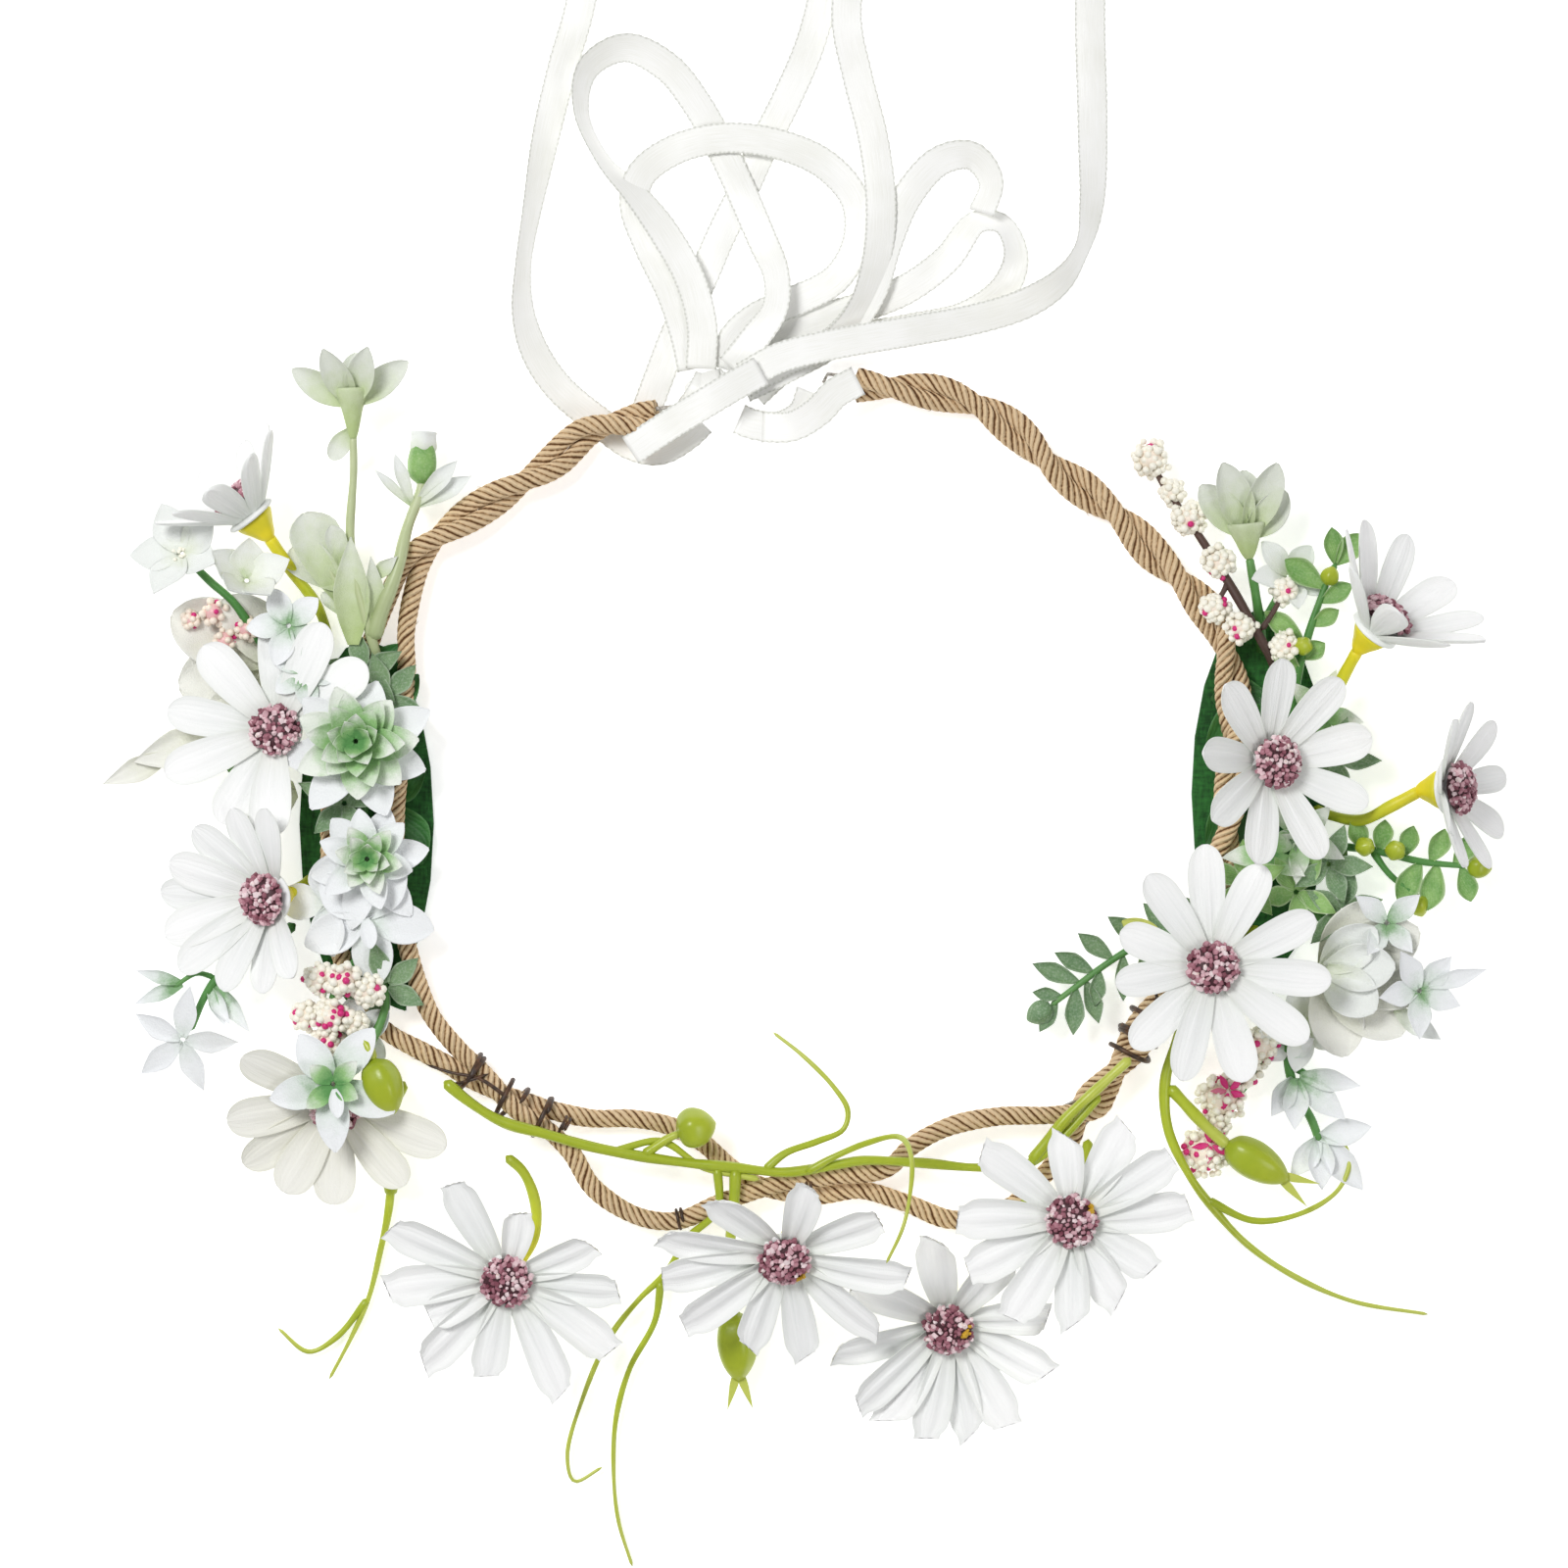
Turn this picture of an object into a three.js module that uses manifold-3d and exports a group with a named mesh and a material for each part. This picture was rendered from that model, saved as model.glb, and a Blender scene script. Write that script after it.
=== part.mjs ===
// A flower crown, lying flat: a wired twine band with felt pads, daisies, sprays, vine and satin ribbon.
// Millimetres, +Z up, +Y towards the ribbon at the back, the table is z = 0.
import * as THREE from 'three';
import { mergeVertices } from 'three/addons/utils/BufferGeometryUtils.js';
import Module from 'manifold-3d';

const wasm = await Module();
wasm.setup();

// ---------------------------------------------------------------- driving dimensions
const RING_DIAMETER = 180; // twine ring, centre to centre
const LAYOUT_DIAMETER = 180; // ring diameter that the plan positions below are laid out for
const GAP = 0.3; // clearance between touching pieces

const TWINE_RADIUS = 1.65;
const TWINE_BORE = 1.05;
const WIRE_RADIUS = 0.5;
const TWIST_CLEARANCE = 0.3;
const TWIST_PITCH = 40;
const STEPS_PER_TURN = 8;
const FREE_STEP = 10; // between stations of an untwisted strand
const EYE_RADIUS = 2.4; // wire eye at each end of the band
const TIE_RADIUS = 0.5; // floral wire
const TIE_PITCH = 1.7;

const PAD_THICKNESS = 1.5;
const PAD_HALF_WIDTH = 14.5;
const PAD_HALF_LENGTH = 40;

const PETAL_THICKNESS = 1;
const PETAL_WIDTH = 9;
const HUB_RADIUS = 7; // where neighbouring petals part
const BUTTON_RADIUS = 4.6;
const BUTTON_HEIGHT = 3.4;
const BUTTON_LIFT = 1; // share of its radius that cupped petals raise the button by, times sin(cup)
const PIN_RADIUS = 0.9;
const PIN_DEPTH = 3.4; // below the petals
const PIN_CLEARANCE = 0.35;
const CUP_RADIUS = 4;
const CUP_DEPTH = 5.5;
const STEM_RADIUS = 1.1;

const VINE_RADIUS = 1.2;
const TENDRIL_RADIUS = 0.8;
const TWIG_RADIUS = 0.9;
const LEAF_THICKNESS = 0.9;

const RIBBON_WIDTH = 6.6;
const RIBBON_THICKNESS = 0.5;
const RIBBON_LAYER = 1.1; // height between crossing stretches
const KNOT_SIZE = [13, 8.6, 8.6];

// ---------------------------------------------------------------- derived heights
const halfStep = Math.PI / STEPS_PER_TURN;
const TWIST_RADIUS = (TWINE_RADIUS + TWIST_CLEARANCE / 2) / Math.cos(halfStep);
const BAND_RADIUS = TWIST_RADIUS + TWINE_RADIUS;
const BAND_Z = PAD_THICKNESS + GAP + BAND_RADIUS;
const BAND_TOP = BAND_Z + BAND_RADIUS;
const VINE_Z = BAND_TOP + GAP + VINE_RADIUS;
const CROSSING_LIFT = TWINE_RADIUS + TWIST_CLEARANCE / 2;
const PAD_TOP = PAD_THICKNESS;
const ROOT_Z = PAD_TOP + GAP + STEM_RADIUS + 0.2;
const SPREAD = RING_DIAMETER / LAYOUT_DIAMETER;

// ---------------------------------------------------------------- materials
const paint = (color, roughness = 0.8) => new THREE.MeshStandardMaterial({ color, roughness, metalness: 0 });
const steel = new THREE.MeshStandardMaterial({ color: 0x8c8880, roughness: 0.4, metalness: 1 });
const twine = paint(0xb8946a, 0.9);
const darkWire = paint(0x3a2418, 0.5);
const felt = paint(0x173d1f, 1);
const petalWhite = paint(0xf2f2ee, 0.9);
const crumbMauve = paint(0x9c6a74, 0.6);
const calyxGreen = paint(0xb3b92c, 0.5);
const vineGreen = paint(0xa6b029, 0.45);
const leafGreen = paint(0x3f6a3d, 0.7);
const flockedGreen = paint(0xa9c9ad, 0.95);
const blossomWhite = paint(0xe4ebe0, 0.8);
const berryIvory = paint(0xeae4d4, 0.5);
const satin = paint(0xf7f6f2, 0.35);

// ---------------------------------------------------------------- geometry helpers
const vec = (p) => new THREE.Vector3(p[0] * SPREAD, p[1] * SPREAD, p[2]);
const atHeight = (points, z) => points.map(([x, y]) => [x, y, z]);

// Swaps the winding of a closed geometry when its faces point in.
function outward(geometry) {
  const merged = solidReady(geometry);
  const p = merged.attributes.position;
  const index = merged.index.array;
  const [a, b, c] = [new THREE.Vector3(), new THREE.Vector3(), new THREE.Vector3()];
  let volume = 0;
  for (let i = 0; i < index.length; i += 3) {
    a.fromBufferAttribute(p, index[i]);
    b.fromBufferAttribute(p, index[i + 1]);
    c.fromBufferAttribute(p, index[i + 2]);
    volume += a.dot(b.cross(c));
  }
  if (volume < 0) {
    for (let i = 0; i < index.length; i += 3) [index[i], index[i + 1]] = [index[i + 1], index[i]];
  }
  return merged;
}

function solidReady(geometry) {
  geometry.deleteAttribute('normal');
  geometry.deleteAttribute('uv');
  return mergeVertices(geometry, 1e-4);
}

function toManifold(geometry) {
  const g = outward(geometry);
  const mesh = new wasm.Mesh({
    numProp: 3,
    vertProperties: new Float32Array(g.attributes.position.array),
    triVerts: new Uint32Array(g.index.array),
  });
  return new wasm.Manifold(mesh);
}

function fromManifold(manifold) {
  const mesh = manifold.getMesh();
  const geometry = new THREE.BufferGeometry();
  geometry.setAttribute('position', new THREE.BufferAttribute(mesh.vertProperties, 3));
  geometry.setIndex(new THREE.BufferAttribute(mesh.triVerts, 1));
  return geometry;
}

function join(geometries) {
  return fromManifold(geometries.map(toManifold).reduce((sum, next) => sum.add(next)));
}

// A curve through explicit stations, so that two tubes with the same stations stay parallel.
class Stations extends THREE.Curve {
  constructor(points) {
    super();
    this.points = points;
  }
  getPoint(t, target = new THREE.Vector3()) {
    const last = this.points.length - 1;
    const i = Math.min(Math.floor(t * last + 1e-6), last - 1);
    return target.lerpVectors(this.points[i], this.points[i + 1], t * last - i);
  }
  getPointAt(u, target) {
    return this.getPoint(u, target);
  }
  getTangentAt(u, target = new THREE.Vector3()) {
    const last = this.points.length - 1;
    const i = Math.round(u * last);
    const before = this.points[Math.max(i - 1, 0)];
    const after = this.points[Math.min(i + 1, last)];
    return target.subVectors(after, before).normalize();
  }
}

function polygon(radiusX, radiusY, sides) {
  const turn = (i) => (2 * Math.PI * (i + 0.5)) / sides;
  return Array.from({ length: sides }, (_, i) =>
    new THREE.Vector2(radiusX * Math.cos(turn(i)), radiusY * Math.sin(turn(i))));
}

function sweep(points, outer, inner = null) {
  const shape = new THREE.Shape(outer);
  if (inner) shape.holes.push(new THREE.Path(inner));
  const path = new Stations(points);
  return new THREE.ExtrudeGeometry(shape, { steps: points.length - 1, extrudePath: path });
}

// A smooth curve through the given points, sampled about every `step` millimetres.
function smooth(points, step) {
  const curve = new THREE.CatmullRomCurve3(points.map(vec), false, 'centripetal');
  return curve.getSpacedPoints(Math.max(2, Math.round(curve.getLength() / step)));
}

const tube = (points, radius, step = 8, sides = 5) =>
  sweep(smooth(points, step), polygon(radius, radius, sides));

function lathe(profile, segments = 8) {
  const points = profile.map(([r, z]) => new THREE.Vector2(r, z));
  return new THREE.LatheGeometry(points, segments).rotateX(Math.PI / 2);
}

function ball(centre, radius) {
  const p = vec(centre);
  return new THREE.SphereGeometry(radius, 6, 5).rotateX(Math.PI / 2).translate(p.x, p.y, p.z);
}

// Turns +Z to `axis`, then moves to `centre`.
function seat(centre, axis) {
  const turn = new THREE.Quaternion().setFromUnitVectors(new THREE.Vector3(0, 0, 1), axis);
  return new THREE.Matrix4().compose(centre, turn, new THREE.Vector3(1, 1, 1));
}

// A lance-shaped leaf from base to tip, flat side up.
function leaf(base, tip, width) {
  const start = vec(base);
  const along = vec(tip).sub(start);
  const length = along.length();
  const half = width / 2;
  const outline = [[-0.8, -0.5], [length * 0.35, -half], [length * 0.75, -half * 0.7], [length, 0],
    [length * 0.75, half * 0.7], [length * 0.35, half], [-0.8, 0.5]];
  const shape = new THREE.Shape(outline.map(([x, y]) => new THREE.Vector2(x, y)));
  const blade = new THREE.ExtrudeGeometry(shape, { depth: LEAF_THICKNESS, bevelEnabled: false });
  blade.translate(0, 0, -LEAF_THICKNESS / 2);
  const x = along.normalize();
  const y = new THREE.Vector3(0, 0, 1).cross(x).normalize();
  const z = new THREE.Vector3().crossVectors(x, y);
  const frame = new THREE.Matrix4().makeBasis(x, y, z).setPosition(start);
  return blade.applyMatrix4(frame);
}

// The outline of a star of petals: each petal is [angle in degrees, length].
function starShape(petals, width, hub) {
  const polar = (r, a) => new THREE.Vector2(r * Math.cos(a), r * Math.sin(a));
  const sorted = petals.map(([deg, length]) => [THREE.MathUtils.degToRad(deg), length]);
  sorted.sort((p, q) => p[0] - q[0]);
  const outline = [];
  sorted.forEach(([angle, length], i) => {
    const next = i + 1 < sorted.length ? sorted[i + 1][0] : sorted[0][0] + 2 * Math.PI;
    const before = i > 0 ? sorted[i - 1][0] : sorted[sorted.length - 1][0] - 2 * Math.PI;
    const shoulder = length * 0.66;
    const room = 0.44 * Math.min(next - angle, angle - before);
    const spread = Math.min(width / 2 / shoulder, room);
    outline.push(polar(shoulder, angle - spread), polar(length, angle), polar(shoulder, angle + spread));
    const valleys = Math.max(1, Math.round((next - angle) / 0.9));
    for (let k = 0; k < valleys; k += 1) {
      outline.push(polar(hub, angle + ((next - angle) * (k + 0.5)) / valleys));
    }
  });
  return new THREE.Shape(outline);
}

// Petals beyond `flat` from the axis rise by the cup angle.
function dish(geometry, cup, flat) {
  const p = geometry.attributes.position;
  for (let i = 0; i < p.count; i += 1) {
    const r = Math.hypot(p.getX(i), p.getY(i));
    const over = Math.max(0, r - flat);
    const scale = r > flat ? (flat + over * Math.cos(cup)) / r : 1;
    p.setXYZ(i, p.getX(i) * scale, p.getY(i) * scale, p.getZ(i) + over * Math.sin(cup));
  }
  return geometry;
}

function star(petals, width, thickness, { cup = 0, hub = HUB_RADIUS, hole = 0 } = {}) {
  const shape = starShape(petals, width, hub);
  if (hole) shape.holes.push(new THREE.Path(polygon(hole, hole, 6)));
  const plate = new THREE.ExtrudeGeometry(shape, { depth: thickness, bevelEnabled: false });
  return dish(plate, THREE.MathUtils.degToRad(cup), BUTTON_RADIUS + 0.6);
}

const evenPetals = (count, length, start = 0) =>
  Array.from({ length: count }, (_, i) => [start + (360 * i) / count, length]);

// ---------------------------------------------------------------- the assembly
const crown = new THREE.Group();
const cordNames = [];

function add(name, geometry, material, parent = crown) {
  const mesh = new THREE.Mesh(outward(geometry), material);
  mesh.name = name;
  parent.add(mesh);
  return mesh;
}

// ---------------------------------------------------------------- band
const leftArm = [[-34, 82], [-40.3, 81.3], [-48.7, 79.2], [-57, 72], [-65.5, 66.6], [-76, 60],
  [-84.4, 53.6], [-88.6, 47]];
const leftInner = [[-88, 36.8], [-88, 26.3], [-89, 12], [-90.5, -7], [-90, -20], [-87.5, -33],
  [-83, -46]];
const leftOuter = [[-96, 33], [-101, 21], [-103.5, 7.5], [-104.5, -9.5], [-103.5, -26], [-100, -40],
  [-93, -49.5], [-84.5, -54.5]];
const leftJoin = [[-77.5, -56], [-69.7, -62], [-63.4, -66.2], [-56, -69.6]];
const frontUpper = [[-48, -69], [-40, -69], [-32, -70.4], [-24.6, -74], [-18.3, -79.5], [-12, -83.4],
  [-0.4, -85.5], [10, -84.5], [19.5, -87.2], [30, -90.9], [41.6, -88.2], [50, -80.5], [55.5, -73]];
const frontLower = [[-52.5, -76], [-47.7, -83.6], [-38.2, -89.7], [-29.8, -90.7], [-19.3, -86.5],
  [-8.8, -83], [3.8, -81], [15.3, -79.5], [21, -74.5], [29, -70.4], [39.5, -68.3], [51, -68]];
const rightArm = [[59.5, -65.5], [66.8, -55.7], [72, -47.3], [76.2, -40], [81.5, -30.5], [86.7, -18],
  [89.5, -1], [90.3, 15.8], [89.5, 26.3], [86.7, 36.8], [80.4, 45.2], [73, 52.5], [66.8, 59.4],
  [58.4, 66.2], [52, 70.8], [43.7, 78.8], [35.3, 84.6], [24.8, 87.6], [14.3, 88.6], [6, 89.2]];

// Stations of both strands along a twisted stretch; the first strand starts on the inside of the ring.
function twisted(points, startTurn) {
  const curve = new THREE.CatmullRomCurve3(atHeight(points, BAND_Z).map(vec), false, 'centripetal');
  const length = curve.getLength();
  const halfTurns = Math.max(1, Math.round((2 * length) / TWIST_PITCH));
  const count = (halfTurns * STEPS_PER_TURN) / 2;
  const strands = [[], []];
  for (let i = 0; i <= count; i += 1) {
    const point = curve.getPointAt(i / count);
    const tangent = curve.getTangentAt(i / count);
    const side = new THREE.Vector3(0, 0, 1).cross(tangent).normalize();
    const angle = startTurn + (2 * Math.PI * i) / STEPS_PER_TURN;
    strands.forEach((strand, k) => {
      const offset = side.clone().multiplyScalar(TWIST_RADIUS * Math.cos(angle + k * Math.PI));
      offset.z = TWIST_RADIUS * Math.sin(angle + k * Math.PI);
      strand.push(point.clone().add(offset));
    });
  }
  return { strands, endTurn: startTurn + halfTurns * Math.PI };
}

// A free stretch between two twisted ones, its own end points left to the neighbours.
function parted(from, points, to) {
  const curve = new THREE.CatmullRomCurve3([from, ...points.map(vec), to], false, 'centripetal');
  const stations = curve.getSpacedPoints(Math.round(curve.getLength() / FREE_STEP));
  return stations.slice(1, -1);
}

const backLeft = twisted(leftArm, 0);
const joint = twisted(leftJoin, 0);
const backRight = twisted(rightArm, 0);
const last = (list) => list[list.length - 1];

// The two strands of a twisted stretch, the one that ends nearer the ring's centre first.
function innerFirst({ strands }) {
  return last(strands[0]).length() < last(strands[1]).length() ? [0, 1] : [1, 0];
}

// Both strands from the left end round to the right end. In front they cross, so the strand that
// leaves the joint on the inside reaches the right arm on the outside.
function strandRoutes() {
  const cluster = [leftInner, leftOuter].map((points) => atHeight(points, BAND_Z));
  const front = [atHeight(frontUpper, BAND_Z - CROSSING_LIFT), atHeight(frontLower, BAND_Z + CROSSING_LIFT)];
  const starts = innerFirst(backLeft).map((i) => backLeft.strands[i]);
  const jointEnds = innerFirst(joint);
  return [0, 1].map((k) => {
    const start = starts[k];
    const middle = joint.strands[k];
    const side = jointEnds.indexOf(k);
    const end = backRight.strands[1 - side];
    return [...start, ...parted(last(start), cluster[k], middle[0]), ...middle,
      ...parted(last(middle), front[side], end[0]), ...end];
  });
}

const strandPoints = strandRoutes();

function addBand() {
  const outer = polygon(TWINE_RADIUS, TWINE_RADIUS, 6);
  const bore = polygon(TWINE_BORE, TWINE_BORE, 4);
  add('twine_strand_inner', sweep(strandPoints[0], outer, bore), twine);
  add('twine_strand_outer', sweep(strandPoints[1], outer, bore), twine);

  // One wire: an eye at the right end, back through the first strand, an eye at the left, out through
  // the second strand.
  const [first, second] = strandPoints;
  const eye = (from, to, beyond) => {
    const middle = from.clone().add(to).multiplyScalar(0.5);
    const out = middle.clone().sub(beyond).setZ(0).normalize();
    const across = from.clone().sub(middle).normalize();
    return [0.2, 0.5, 0.8].map((t) => middle.clone()
      .addScaledVector(out, GAP + EYE_RADIUS * (1 + Math.sin(Math.PI * t)) / 1.2)
      .addScaledVector(across, EYE_RADIUS * Math.cos(Math.PI * t)));
  };
  const leftEye = eye(first[0], second[0], first[2].clone().add(second[2]).multiplyScalar(0.5));
  const n = first.length - 1;
  const m = second.length - 1;
  const rightEye = eye(first[n], second[m], first[n - 2].clone().add(second[m - 2]).multiplyScalar(0.5));
  const wire = [...rightEye.slice(0, 2).reverse(), ...[...first].reverse(), ...leftEye, ...second];
  add('wire_core', sweep(wire, polygon(WIRE_RADIUS, WIRE_RADIUS, 4)), steel);
}

// Floral wire wound round the twisted band at `centre`, the band running along `heading` degrees.
function addTie(name, centre, heading, turns) {
  const radius = (BAND_RADIUS + GAP + TIE_RADIUS) / Math.cos(halfStep);
  const count = Math.round(turns * STEPS_PER_TURN);
  const turn = THREE.MathUtils.degToRad(heading);
  const along = new THREE.Vector3(Math.cos(turn), Math.sin(turn), 0);
  const side = new THREE.Vector3(-along.y, along.x, 0);
  const middle = vec([...centre, BAND_Z]);
  const points = [];
  for (let i = 0; i <= count; i += 1) {
    const angle = (2 * Math.PI * i) / STEPS_PER_TURN;
    points.push(middle.clone()
      .addScaledVector(along, TIE_PITCH * (i / STEPS_PER_TURN - turns / 2))
      .addScaledVector(side, radius * Math.cos(angle))
      .add(new THREE.Vector3(0, 0, radius * Math.sin(angle))));
  }
  add(name, sweep(points, polygon(TIE_RADIUS, TIE_RADIUS, 5)), darkWire);
}

function addPad(name, centre) {
  const shape = new THREE.Shape().absellipse(0, 0, PAD_HALF_WIDTH, PAD_HALF_LENGTH, 0, 2 * Math.PI);
  const options = { depth: PAD_THICKNESS, bevelEnabled: false, curveSegments: 10 };
  const p = vec([...centre, 0]);
  add(name, new THREE.ExtrudeGeometry(shape, options).translate(p.x, p.y, 0), felt);
}

addBand();
addPad('felt_pad_left', [-97, -5.5]);
addPad('felt_pad_right', [96, 1]);
addTie('wire_tie_left', [-69.7, -61.8], -37, 2.5);
addTie('wire_tie_right', [69.4, -51.4], 58, 2.5);

// ---------------------------------------------------------------- daisies
// Each daisy: where its petals sit, which way it faces, how far the petals cup, the petals as
// [angle, length], and the stem's route from its root to just behind the calyx.
const daisies = [
  { name: 'front_left', at: [-66, -102.5, 14], face: [0.05, -0.08], cup: 6, turning: true,
    petals: [[118, 24], [153, 27], [180, 25.5], [206, 18], [225, 25], [258, 21], [300, 27], [330, 27],
      [352, 24], [20, 20], [75, 15]],
    stem: [[-66.3, -76.5, VINE_Z], [-62.5, -80, VINE_Z], [-60, -87, 9], [-60.5, -94, 6.5],
      [-63.5, -99.5, 6.5]] },
  { name: 'front_middle', at: [-6.5, -96, 25], face: [0, -0.47], cup: 10, turning: true,
    petals: [[128, 22], [165, 26], [186, 26], [214, 26], [246, 22], [284, 24], [320, 26], [350, 26],
      [30, 22], [72, 19]],
    stem: [[-3.5, -85.2, VINE_Z], [-4.2, -87.5, 12.5], [-5.8, -91, 16.5]] },
  { name: 'front_low', at: [28.5, -112.4, 9], face: [0, -0.36], cup: 18, turning: true,
    petals: [[60, 22], [100, 22], [145, 23], [194, 24], [218, 25], [240, 24], [262, 24], [284, 24],
      [306, 24], [338, 23], [15, 22]],
    stem: [[46.5, -82.5, VINE_Z], [43.5, -90.5, 9], [38.5, -98.5, 6], [33.5, -105.5, 4.6]] },
  { name: 'front_right', at: [53.5, -88.5, 28], face: [0.02, 0.03], cup: 4, turning: true,
    petals: [[176, 24], [206, 24], [138, 24], [92, 18], [57, 23], [30, 25], [3, 25], [330, 20],
      [300, 20], [272, 22], [240, 24]],
    stem: [[58.5, -73, VINE_Z], [57.8, -76.5, 12.5], [56, -82, 16.5], [54, -87, 20.5]] },
  { name: 'left_upper', at: [-115, 14.5, 12], face: [-0.1, 0.08], cup: 5,
    petals: [[170, 24], [202, 25.5], [240, 23], [267, 23], [131, 24], [91, 24.5], [64, 25], [35, 24]],
    stem: [[-109, 9, ROOT_Z], [-112, 11.5, 4.4]] },
  { name: 'left_middle', at: [-116, -21, 14], face: [-0.66, -0.1], cup: 15,
    petals: [[77, 20], [108, 20], [136, 22], [163, 24], [180, 26], [199, 26], [216, 26], [243, 22],
      [272, 20], [300, 19]],
    stem: [[-108.6, -17, ROOT_Z], [-110.6, -18.8, 6]] },
  { name: 'left_top', at: [-120, 60, 15], face: [-2.4, 3], cup: 42,
    petals: evenPetals(9, 17, 20),
    stem: [[-104.5, 33, ROOT_Z], [-107, 41, 5], [-112, 48.5, 9.5]] },
  { name: 'left_low', at: [-102.5, -65, 11], face: [0, -0.37], cup: 12,
    petals: [[145, 23], [185, 23], [213, 23.5], [238, 22], [268, 22], [309, 22.5], [340, 25]],
    stem: [[-100.8, -51.5, ROOT_Z], [-101.2, -57, 4]] },
  { name: 'right_upper', at: [96.2, 7.8, 18], face: [0.5, 0], cup: 20, turning: true,
    petals: evenPetals(9, 22, 14),
    stem: [[98.6, 2.6, ROOT_Z], [97.8, 5, 8.5]] },
  { name: 'right_lower', at: [84, -35.7, 21], face: [0, 0.05], cup: 6, turning: true,
    petals: [[95, 26], [125, 24], [160, 21], [190, 21], [225, 24], [252, 25], [285, 25], [320, 25],
      [352, 25], [25, 24], [65, 24]],
    stem: [[95.5, -27.5, ROOT_Z], [92, -31.5, 6], [87, -34.6, 12]] },
  { name: 'right_outer', at: [133.4, 2.1, 18], face: [1.6, 0.1], cup: 24,
    petals: evenPetals(9, 18, 10),
    stem: [[107.5, -2, ROOT_Z], [111, -3.6, 5.5], [117, -4.6, 10], [123, -1.5, 14]] },
  { name: 'right_top', at: [118.5, 35.5, 18], face: [1.2, 1.5], cup: 40,
    petals: evenPetals(9, 20, 30),
    stem: [[107, 9, ROOT_Z], [109.5, 16, 6], [112.5, 25, 11]] },
];

// A turning head has a loose button whose pin runs in the calyx; on the others the button is glued on
// its pin, so button, calyx and stem are one piece with the petals trapped between them.
function addDaisy({ name, at, face, cup, petals, stem, turning }) {
  const axis = new THREE.Vector3(face[0], face[1], 1).normalize();
  const centre = vec(at);
  const place = seat(centre, axis);
  const head = new THREE.Group();
  place.decompose(head.position, head.quaternion, head.scale);
  crown.add(head);

  const bore = PIN_RADIUS + PIN_CLEARANCE;
  add(`daisy_${name}_petals`, star(petals, PETAL_WIDTH, PETAL_THICKNESS, { cup, hole: bore }),
    petalWhite, head);

  const rise = BUTTON_LIFT * BUTTON_RADIUS * Math.sin(THREE.MathUtils.degToRad(cup));
  const seatZ = PETAL_THICKNESS + GAP + rise;
  const top = seatZ + BUTTON_HEIGHT;
  const button = lathe([[0, top], [BUTTON_RADIUS * 0.65, top - 0.7], [BUTTON_RADIUS, seatZ + 1],
    [BUTTON_RADIUS, seatZ], [PIN_RADIUS, seatZ], [PIN_RADIUS, -PIN_DEPTH], [0, -PIN_DEPTH]]);
  const outside = [[0, -CUP_DEPTH], [STEM_RADIUS + 0.5, -CUP_DEPTH], [CUP_RADIUS, -1.5],
    [CUP_RADIUS, -GAP]];
  const floor = -PIN_DEPTH - GAP;
  const inside = turning ? [[bore, -GAP], [bore, floor], [0, floor]] : [[0, -GAP]];
  const calyx = lathe([...outside, ...inside]).applyMatrix4(place);

  const tail = centre.clone().addScaledVector(axis, 0.4 - CUP_DEPTH);
  const route = [...stem, [tail.x / SPREAD, tail.y / SPREAD, tail.z]];
  const pieces = [calyx, tube(route, STEM_RADIUS, 6)];
  if (turning) add(`daisy_${name}_centre`, button, crumbMauve, head);
  else pieces.push(button.applyMatrix4(place));
  add(`daisy_${name}_stem`, join(pieces), calyxGreen);
}

daisies.forEach(addDaisy);

// ---------------------------------------------------------------- vine and tendrils
function addFrontVine() {
  const runner = [[-80, -65.5, VINE_Z], [-73.5, -69, VINE_Z], [-65.5, -72.5, VINE_Z],
    [-57, -73.5, VINE_Z], [-48.5, -75, VINE_Z], [-38, -76.5, VINE_Z], [-27.5, -78, VINE_Z],
    [-17, -79, VINE_Z], [-6.5, -80, VINE_Z], [4, -78.5, VINE_Z], [10, -77.5, VINE_Z],
    [22.5, -78, VINE_Z], [35.5, -79, VINE_Z], [46, -78, VINE_Z], [53, -72.5, VINE_Z],
    [61, -63.5, VINE_Z]];
  const roundBud = [[-37, -76.5, VINE_Z], [-31, -72.5, VINE_Z], [-27.5, -70.5, VINE_Z]];
  const hangingBud = [[-17, -79, VINE_Z], [-17.5, -88, VINE_Z], [-18.5, -100, 7], [-17, -116, 6]];
  const innerCurl = [[-11, -79.7, VINE_Z], [-6.5, -76, 10], [0.5, -73.5, 9], [6, -71, 8.5],
    [7, -67, 8], [4, -62, 7], [-2.5, -55.5, 5], [-9, -50.5, 3]];
  const longCurl = [[-21, -78.7, VINE_Z], [-21, -88, VINE_Z], [-27.5, -94.5, 8], [-32, -102, 5.5],
    [-38, -108, 4.5], [-44.5, -116.5, 3.5], [-50, -129, 3], [-53.5, -142, 2.5], [-52, -147.5, 2.2],
    [-46, -144.5, 2]];
  const secondCurl = [[-33.2, -103.6, 5.2], [-34.5, -112.5, 4.5], [-40, -123, 3.2], [-43, -134, 2.6],
    [-43.5, -146, 2.2], [-42.5, -156, 2], [-39.5, -166, 1.6]];
  add('front_vine', join([
    tube(runner, VINE_RADIUS, 10),
    tube(roundBud, VINE_RADIUS * 0.8),
    ball([-26.5, -69.5, VINE_Z], 4.2),
    tube(hangingBud, VINE_RADIUS * 0.8),
    ball([-16.5, -118, 6], 4.6),
    tube(innerCurl, TENDRIL_RADIUS),
    tube(longCurl, TENDRIL_RADIUS),
    tube(secondCurl, TENDRIL_RADIUS),
  ]), vineGreen);
}

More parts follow.
